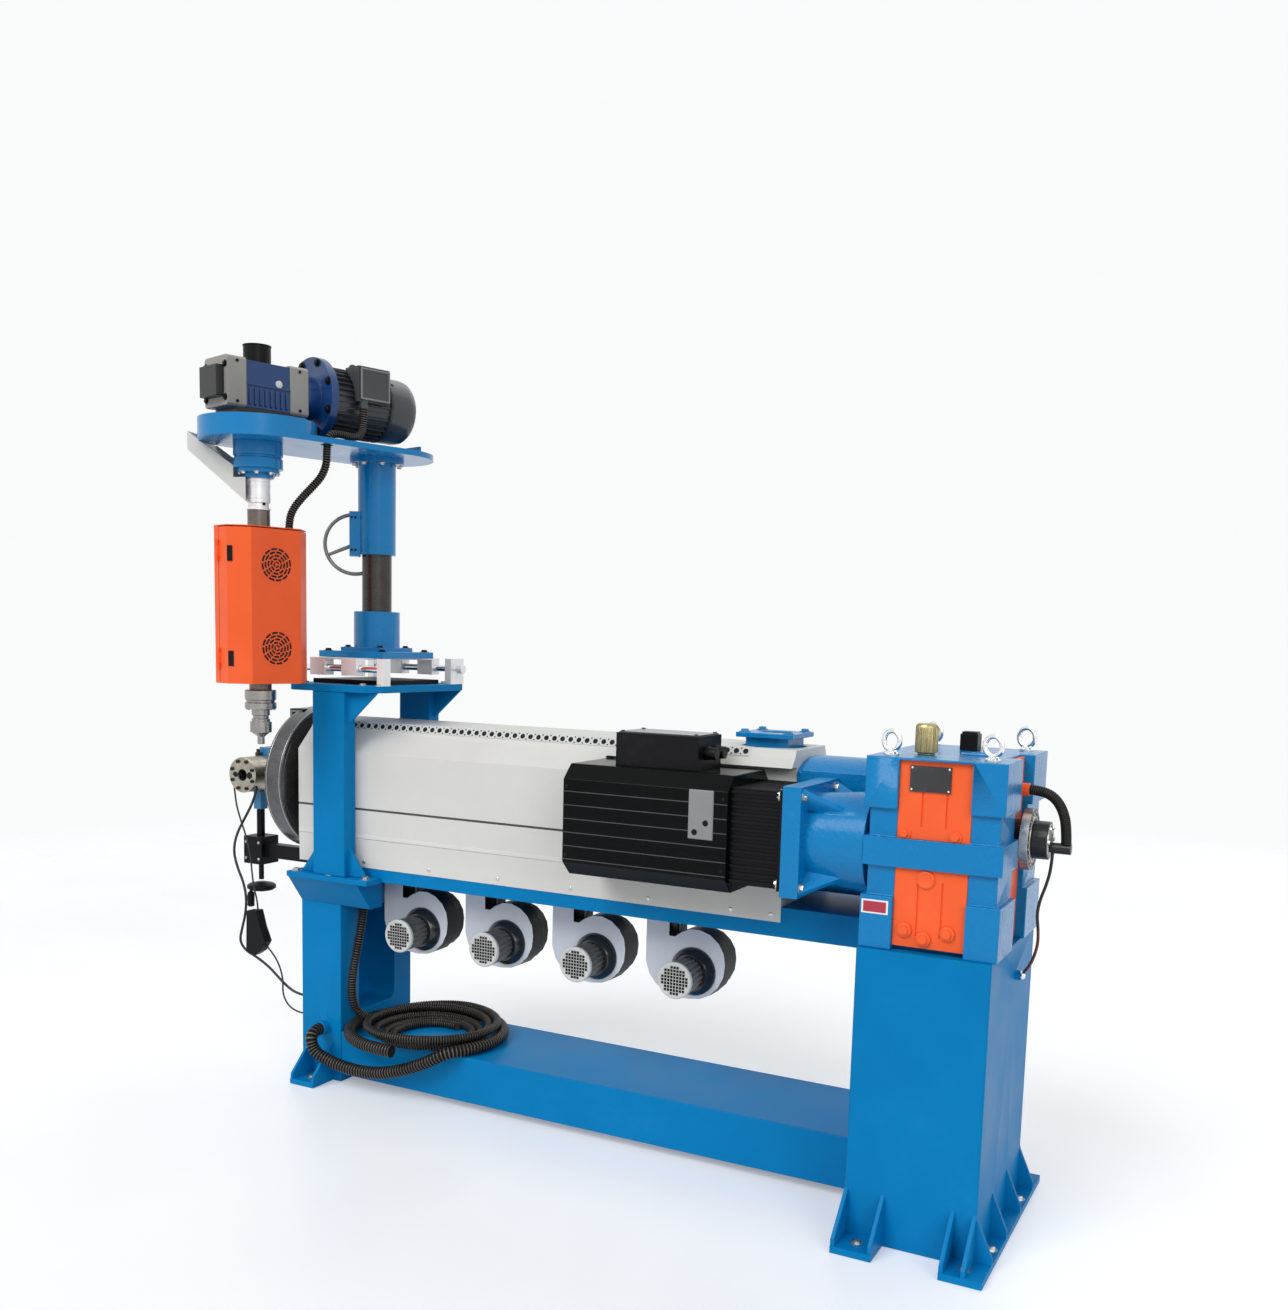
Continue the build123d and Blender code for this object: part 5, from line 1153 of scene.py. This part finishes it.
class EXTRUDER_OT_drive(bpy.types.Operator):
    """Builds the drive motor with its black hood, finned body, terminal box, and the bell housing to
    the gearbox."""

    bl_idname = "extruder.drive"
    bl_label = "Drive Motor"

    def execute(self, context):
        copied("bell_housing", "painted", "frame", "hammered_blue", 3.0)
        copied("motor_hood", "gloss", "frame", ["gloss_black", "frame_grey"], 3.0,
               paint=lambda c, n: (c[:, 1] < -0.4045))
        copied("motor_terminal_box", "black", "frame", "satin_black", 4.0)
        body, bright = Surface(), Surface()
        y0, y1, z0, z1 = -387.0, -133.0, 873.0, 1127.0
        body.add(brick(-527.5, -378.5, y0 + 6, y1 - 6, z0 + 6, z1 - 6))
        body.add(brick(-391, -378.2, -391, -129, 869, 1131))
        n, half = 13, 3.6
        for k in range(n):
            z = z0 + 10 + (z1 - z0 - 20) * k / (n - 1)
            body.add(brick(-527, -393, y0, y0 + 8, z - half, z + half))
            body.add(brick(-527, -393, y1 - 8, y1, z - half, z + half))
            y = y0 + 10 + (y1 - y0 - 20) * k / (n - 1)
            body.add(brick(-527, -393, y - half, y + half, z1 - 8, z1))
            body.add(brick(-527, -393, y - half, y + half, z0, z0 + 8))
        body.make("drive_motor_finned", "frame", "satin_black", slot="drive_motor", own=True, bevel=0.6,
                  segments=1)
        for z, y in product((886, 1114), (-374, -146)):
            bright.bolt((-391, y, z), LEFT, 20, 11)
        bright.make("motor_bolts", "frame", "zinc_bolt", slot="drive_motor")
        # Thin near-black strips on the hood's front stand in for its grooves: painted shade
        s = Surface()
        for z in (893, 930, 968, 1006, 1044, 1082):
            s.add(brick(-1023, -529, -404.9, -403.9, z - 1.2, z + 1.2))
        s.make("hood_groove_shade", "frame", "box_grey", slot="motor_hood")
        s = Surface()
        for x, z in product((-1012, -540), (905, 1095)):
            s.add(lathe([(5, 0), (5, 2), (3, 3.2), (1, 3.2)], (x, -404, z), FRONT, 14))
        for z in (1004, 1030):
            s.add(lathe([(8, 0), (8, 0.7), (1, 0.7)], (-603 + (z - 1017) * 1.2, -409, z), FRONT, 20))
        s.make("hood_screws", "frame", "satin_black", slot="motor_hood")
        s = Surface()
        s.add(brick(-892, -654, -329, -191, 1246, 1251.5))
        for x, y in product((-884, -662), (-321, -199)):
            s.add(socket_screw((x, y, 1251.3), r=6, high=3))
        s.make("motor_box_lid", "frame", "motor_grey", slot="motor_terminal_box", bevel=1.5)
        s = Surface()
        for y in (-287, -233):
            profile = [(17.2, 0), (21, 1), (21, 11), (18, 13), (18, 19), (15, 22), (10, 22)]
            s.add(lathe(profile, (-648.5, y, 1202), RIGHT, 6))
            s.add(lathe([(14, 18), (14, 30), (11, 33), (3, 33)], (-648.5, y, 1202), RIGHT, 24))
        s.make("motor_box_glands", "frame", "satin_black", slot="motor_terminal_box")
        s = Surface()
        for z, y in product((876, 1124), (-384, -136)):
            s.bolt((-328, y * 0.97 - 8, z * 0.96 + 40), RIGHT, 20, 11)
        s.make("bell_bolts", "frame", "zinc_bolt", slot="bell_housing")
        return {"FINISHED"}


class EXTRUDER_OT_gearbox(bpy.types.Operator):
    """Finishes the gearbox: blue shell, orange case in its windows with ribs and bolts, eyes, caps and
    bare plates."""

    bl_idname = "extruder.gearbox"
    bl_label = "Gearbox"

    def execute(self, context):
        copied("gearbox_housing", "painted", "frame", "hammered_blue", 3.0, joined=False)
        copied("gearbox_core", "painted", "frame", "orange_paint", 2.0)
        s = Surface()
        for x, y in product((-119, 128), (-346, 52)):
            s.add(torus(24, 6.4, (x, y, 1271), (0.4, 1, 0), 40, 14))
            s.add(lathe([(19, 1235.3), (19, 1240), (12, 1244), (9, 1250)], (x, y, 0), sides=24))
        s.make("lifting_eyes_bright", "frame", "chrome", slot="lifting_eyes", own=True)
        s = Surface()
        n, r = 72, 28.8
        t = np.arange(n) * 2 * math.pi / n
        knurl = r - 1.3 * (np.arange(n) % 2)
        rows = []
        for h, k in ((1235.3, 0.75), (1240, 0.75), (1241, 1.0), (1302, 1.0), (1309, 0.93), (1312.8, 0.80),
                     (1312.8, 0.2)):
            rr = knurl * k if k == 1.0 else np.full(n, r * k)
            rows.append(np.column_stack((-53 + rr * np.cos(t), -270 + rr * np.sin(t), np.full(n, h))))
        s.add(grid(np.array(rows)), 0)
        s.add(brick(-18.5, 27.5, -71, -25, 1235.3, 1279), 1)
        s.add(brick(-15, 24, -67.5, -28.5, 1278, 1284.8), 1)
        s.make("filler_and_breather_caps", "frame", ["brass", "satin_black"], slot="filler_and_breather",
               own=True, bevel=1.5)
        s = Surface()
        s.add(lathe([(46, -0.5), (46, 3), (42, 5), (20, 5), (18, 3), (4, 3)], (60, -180, 1235), sides=48))
        s.make("top_cover", "frame", "hammered_blue", slot="gearbox_housing")
        b = Surface()
        for x in (-66, 58):
            b.bolt((x, -383, 1050), FRONT, 19, 10)
        for x, z in ((-54, 812), (-6, 794), (52, 814)):
            b.add(lathe([(19, 0), (18, 7), (12, 9), (11, 14), (4, 14)], (x, -383, z), FRONT, 24))
        b.add(lathe([(22, 0), (22, 4), (18, 6), (15, 4), (4, 4)], (-7, -383, 940), FRONT, 32))
        b.make("case_bolts", "frame", "orange_paint", slot="gearbox_core")
        s = Surface()
        s.add(brick(-58, 42, -386.5, -382, 1154, 1217), 0)
        s.add(brick(-162, -94, -395.3, -393.5, 844, 879), 1)
        s.add(brick(-157, -99, -396, -395, 848, 875), 2)
        for x, z in ((-53, 1159), (37, 1159), (-53, 1212), (37, 1212)):
            s.add(lathe([(2.6, 0), (2.6, 1), (1, 1.6)], (x, -386.5, z), FRONT, 12), 1)
        s.make("bare_plates", "frame", ["bare_plate", "aluminium", "red_plate"], slot="gearbox_housing",
               bevel=0.4)
        return {"FINISHED"}


class EXTRUDER_OT_end_unit(bpy.types.Operator):
    """Finishes the unit on the gearbox's end: turned body with a bright ribbed rim, elbow and hose
    fitting."""

    bl_idname = "extruder.end_unit"
    bl_label = "Shaft End Unit"

    def execute(self, context):
        copied("shaft_end_unit", "finished", "frame", ["cast_black", "machined_steel"], 1.2,
               paint=lambda c, n: ((np.hypot(c[:, 1] - END_Y * MM, c[:, 2] - END_H * MM) > 0.060)
                                   & (c[:, 0] < 0.2)))
        s = Surface()
        for c, t in around(24):
            s.add(lathe([(3, 0), (3, 2.5), (1, 2.5)], (198, END_Y + 68 * c, END_H + 68 * t), RIGHT, 10))
        for r in (30, 40, 56):
            s.add(torus(r, 1.6, (198.3 if r > 50 else 238.2, END_Y, END_H), RIGHT, 48, 8))
        s.make("end_unit_rings", "frame", "machined_steel", slot="shaft_end_unit")
        s = Surface()
        for c, t in around(6):
            s.bolt((238, END_Y + 35 * c, END_H + 35 * t), RIGHT, 10, 6)
        s.make("end_unit_bolts", "frame", "zinc_bolt", slot="shaft_end_unit")
        return {"FINISHED"}


class EXTRUDER_OT_blowers(bpy.types.Operator):
    """Builds the four blowers: dished snail shells with ducts, ribbed tapered motors, and caps with
    round grilles."""

    bl_idname = "extruder.blowers"
    bl_label = "Blowers"

    def execute(self, context):
        copied("blowers", "shells", "frame", ["blower_grey", "satin_black"], 3.0,
               paint=lambda c, n: (n[:, 1] > -0.5))
        motors, caps, holes, rings = Surface(), Surface(), Surface(), Surface()
        for k in range(4):
            x = BLOWER_X + BLOWER_STEP * k
            at = (x, 0, BLOWER_H)
            neck = [(20, 48.6), (73, 48.8), (73, 54), (70, 60), (64, 68), (59, 76), (56, 78.8), (20, 78.8)]
            rings.add(lathe(neck, at, FRONT, 44))
            n = 20
            t = np.arange(n * 4) * 2 * math.pi / (n * 4)
            tooth = np.tile([1.0, 1.0, 0.93, 0.93], n)
            rows = []
            for h, r, c in ((79.2, 47, 1), (84, 48.4, 0), (160, 53, 0), (166.8, 53.6, 1)):
                rr = r * (tooth if c == 0 else 0.93)
                rows.append(np.column_stack((x + rr * np.cos(t), -np.full(len(t), h),
                                             BLOWER_H - rr * np.sin(t))))
            motors.add(grid(np.array(rows)[:, ::-1]))
            profile = [(20, 167), (53.6, 167), (54, 168.5), (54, 176), (51, 178.8), (46, 178.8),
                       (44.5, 177), (4, 177)]
            caps.add(lathe(profile, at, FRONT, 48))
            # The caps' grille holes are near-black squares: painted shade in the openings
            pitch, half = 9.6, 3.7
            for i, j in product(range(-4, 5), range(-4, 5)):
                u, v = i * pitch, j * pitch
                if math.hypot(u, v) < 41.0:
                    holes.add(slab(square(u, v, half, half), -177.8, -176.6, "y"), move=at)
        motors.make("blower_motors_ribbed", "frame", "fan_motor_grey", slot="blower_motors", own=True,
                    angle=30)
        rings.make("blower_necks", "frame", "fan_black", slot="blower_motors")
        caps.make("blower_caps", "frame", "cap_grey", slot="blower_motors")
        holes.make("blower_cap_hole_shade", "frame", "hole_black", slot="blower_motors")
        return {"FINISHED"}


class EXTRUDER_OT_conduits(bpy.types.Operator):
    """Lays the ribbed conduits: over the arm to the guard, down the front pedestal, and round the coil
    on the beam."""

    bl_idname = "extruder.conduits"
    bl_label = "Conduits"

    def execute(self, context):
        arm = on_arm(ARM_ROUTE).tolist()
        corrugated("conduit_arm_ribbed", arm, 25.0, 7.5, 2.4, "arm", "conduit_plastic", ("conduit_arm",))
        corrugated("conduit_drop_ribbed", DROP_ROUTE + drop_turns(), 27.0, 8.4, 2.7, "frame",
                   "conduit_plastic", ("conduit_drop",))
        corrugated("conduit_loop_ribbed", LOOP_ROUTE + loop_turns(), 40.0, 10.8, 3.5, "frame",
                   "conduit_plastic", ("conduit_loop", "cable_coil"), sides=16)
        return {"FINISHED"}


class EXTRUDER_OT_leads(bpy.types.Operator):
    """Hangs the thin leads of the crosshead with their plug, and the hose and wire at the gearbox's end."""

    bl_idname = "extruder.leads"
    bl_label = "Leads and Hose"

    def execute(self, context):
        copied("head_plug", "black", "frame", "satin_black", 4.0, segments=3)
        for name, route, wide in (("head_cable", HEAD_ROUTE, 9.0), ("head_lead", LEAD_ROUTE, 6.0),
                                  ("plug_lead", PLUG_ROUTE, 6.0)):
            smooth_cord(name + "_black", route, wide, "frame", "cord_rubber", (name,))
        corrugated("end_hose_black", HOSE_ROUTE, 26.0, 5.0, 0.9, "frame", "cord_rubber", ("end_hose",),
                   sides=20)
        s = Surface().add(lathe([(9, -3), (9, 2), (6.5, 3), (6.5, 12), (5, 14), (4.2, 14)],
                                (183, -111, 668), (0.2, -0.5, 0.85), 20))
        s.make("wire_clip", "frame", "chrome", slot="rear_pedestal")
        smooth_cord("end_cable_black", WIRE_ROUTE, 8.0, "frame", "sleeved_wire", ("end_cable",))
        return {"FINISHED"}


class EXTRUDER_OT_finishes(bpy.types.Operator):
    """Makes the shared effects and every finish from the panel's colours."""

    bl_idname = "extruder.finishes"
    bl_label = "Finishes"

    def execute(self, context):
        build_materials(context.scene.extruder_look)
        return {"FINISHED"}


class EXTRUDER_PT_panel(bpy.types.Panel):
    """Lists the settings and the builders in the order they run."""

    bl_idname = "EXTRUDER_PT_panel"
    bl_label = "Cable Extruder"
    bl_space_type = "VIEW_3D"
    bl_region_type = "UI"
    bl_category = "Extruder"

    def draw(self, context):
        for props in (context.scene.extruder_look, context.scene.extruder_sizes):
            for key in props.__annotations__:
                self.layout.prop(props, key)
        for op in OPERATORS:
            self.layout.operator(op.bl_idname)


OPERATORS = (EXTRUDER_OT_finishes, EXTRUDER_OT_stage, EXTRUDER_OT_conduits, EXTRUDER_OT_leads,
             EXTRUDER_OT_stand, EXTRUDER_OT_slide, EXTRUDER_OT_arm, EXTRUDER_OT_injector, EXTRUDER_OT_guard,
             EXTRUDER_OT_reducer, EXTRUDER_OT_head, EXTRUDER_OT_jack, EXTRUDER_OT_barrel, EXTRUDER_OT_drive,
             EXTRUDER_OT_gearbox, EXTRUDER_OT_end_unit, EXTRUDER_OT_blowers)
CLASSES = (ExtruderLook, ExtruderSizes, *OPERATORS, EXTRUDER_PT_panel)


def register():
    for c in CLASSES:
        bpy.utils.register_class(c)
    bpy.types.Scene.extruder_look = PointerProperty(type=ExtruderLook)
    bpy.types.Scene.extruder_sizes = PointerProperty(type=ExtruderSizes)


def unregister():
    del bpy.types.Scene.extruder_sizes
    del bpy.types.Scene.extruder_look
    for c in reversed(CLASSES):
        bpy.utils.unregister_class(c)


def main():
    """Registers the classes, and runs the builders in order."""
    register()
    for op in OPERATORS:
        getattr(bpy.ops.extruder, op.bl_idname.split(".")[1])()


if __name__ == "__main__":
    main()
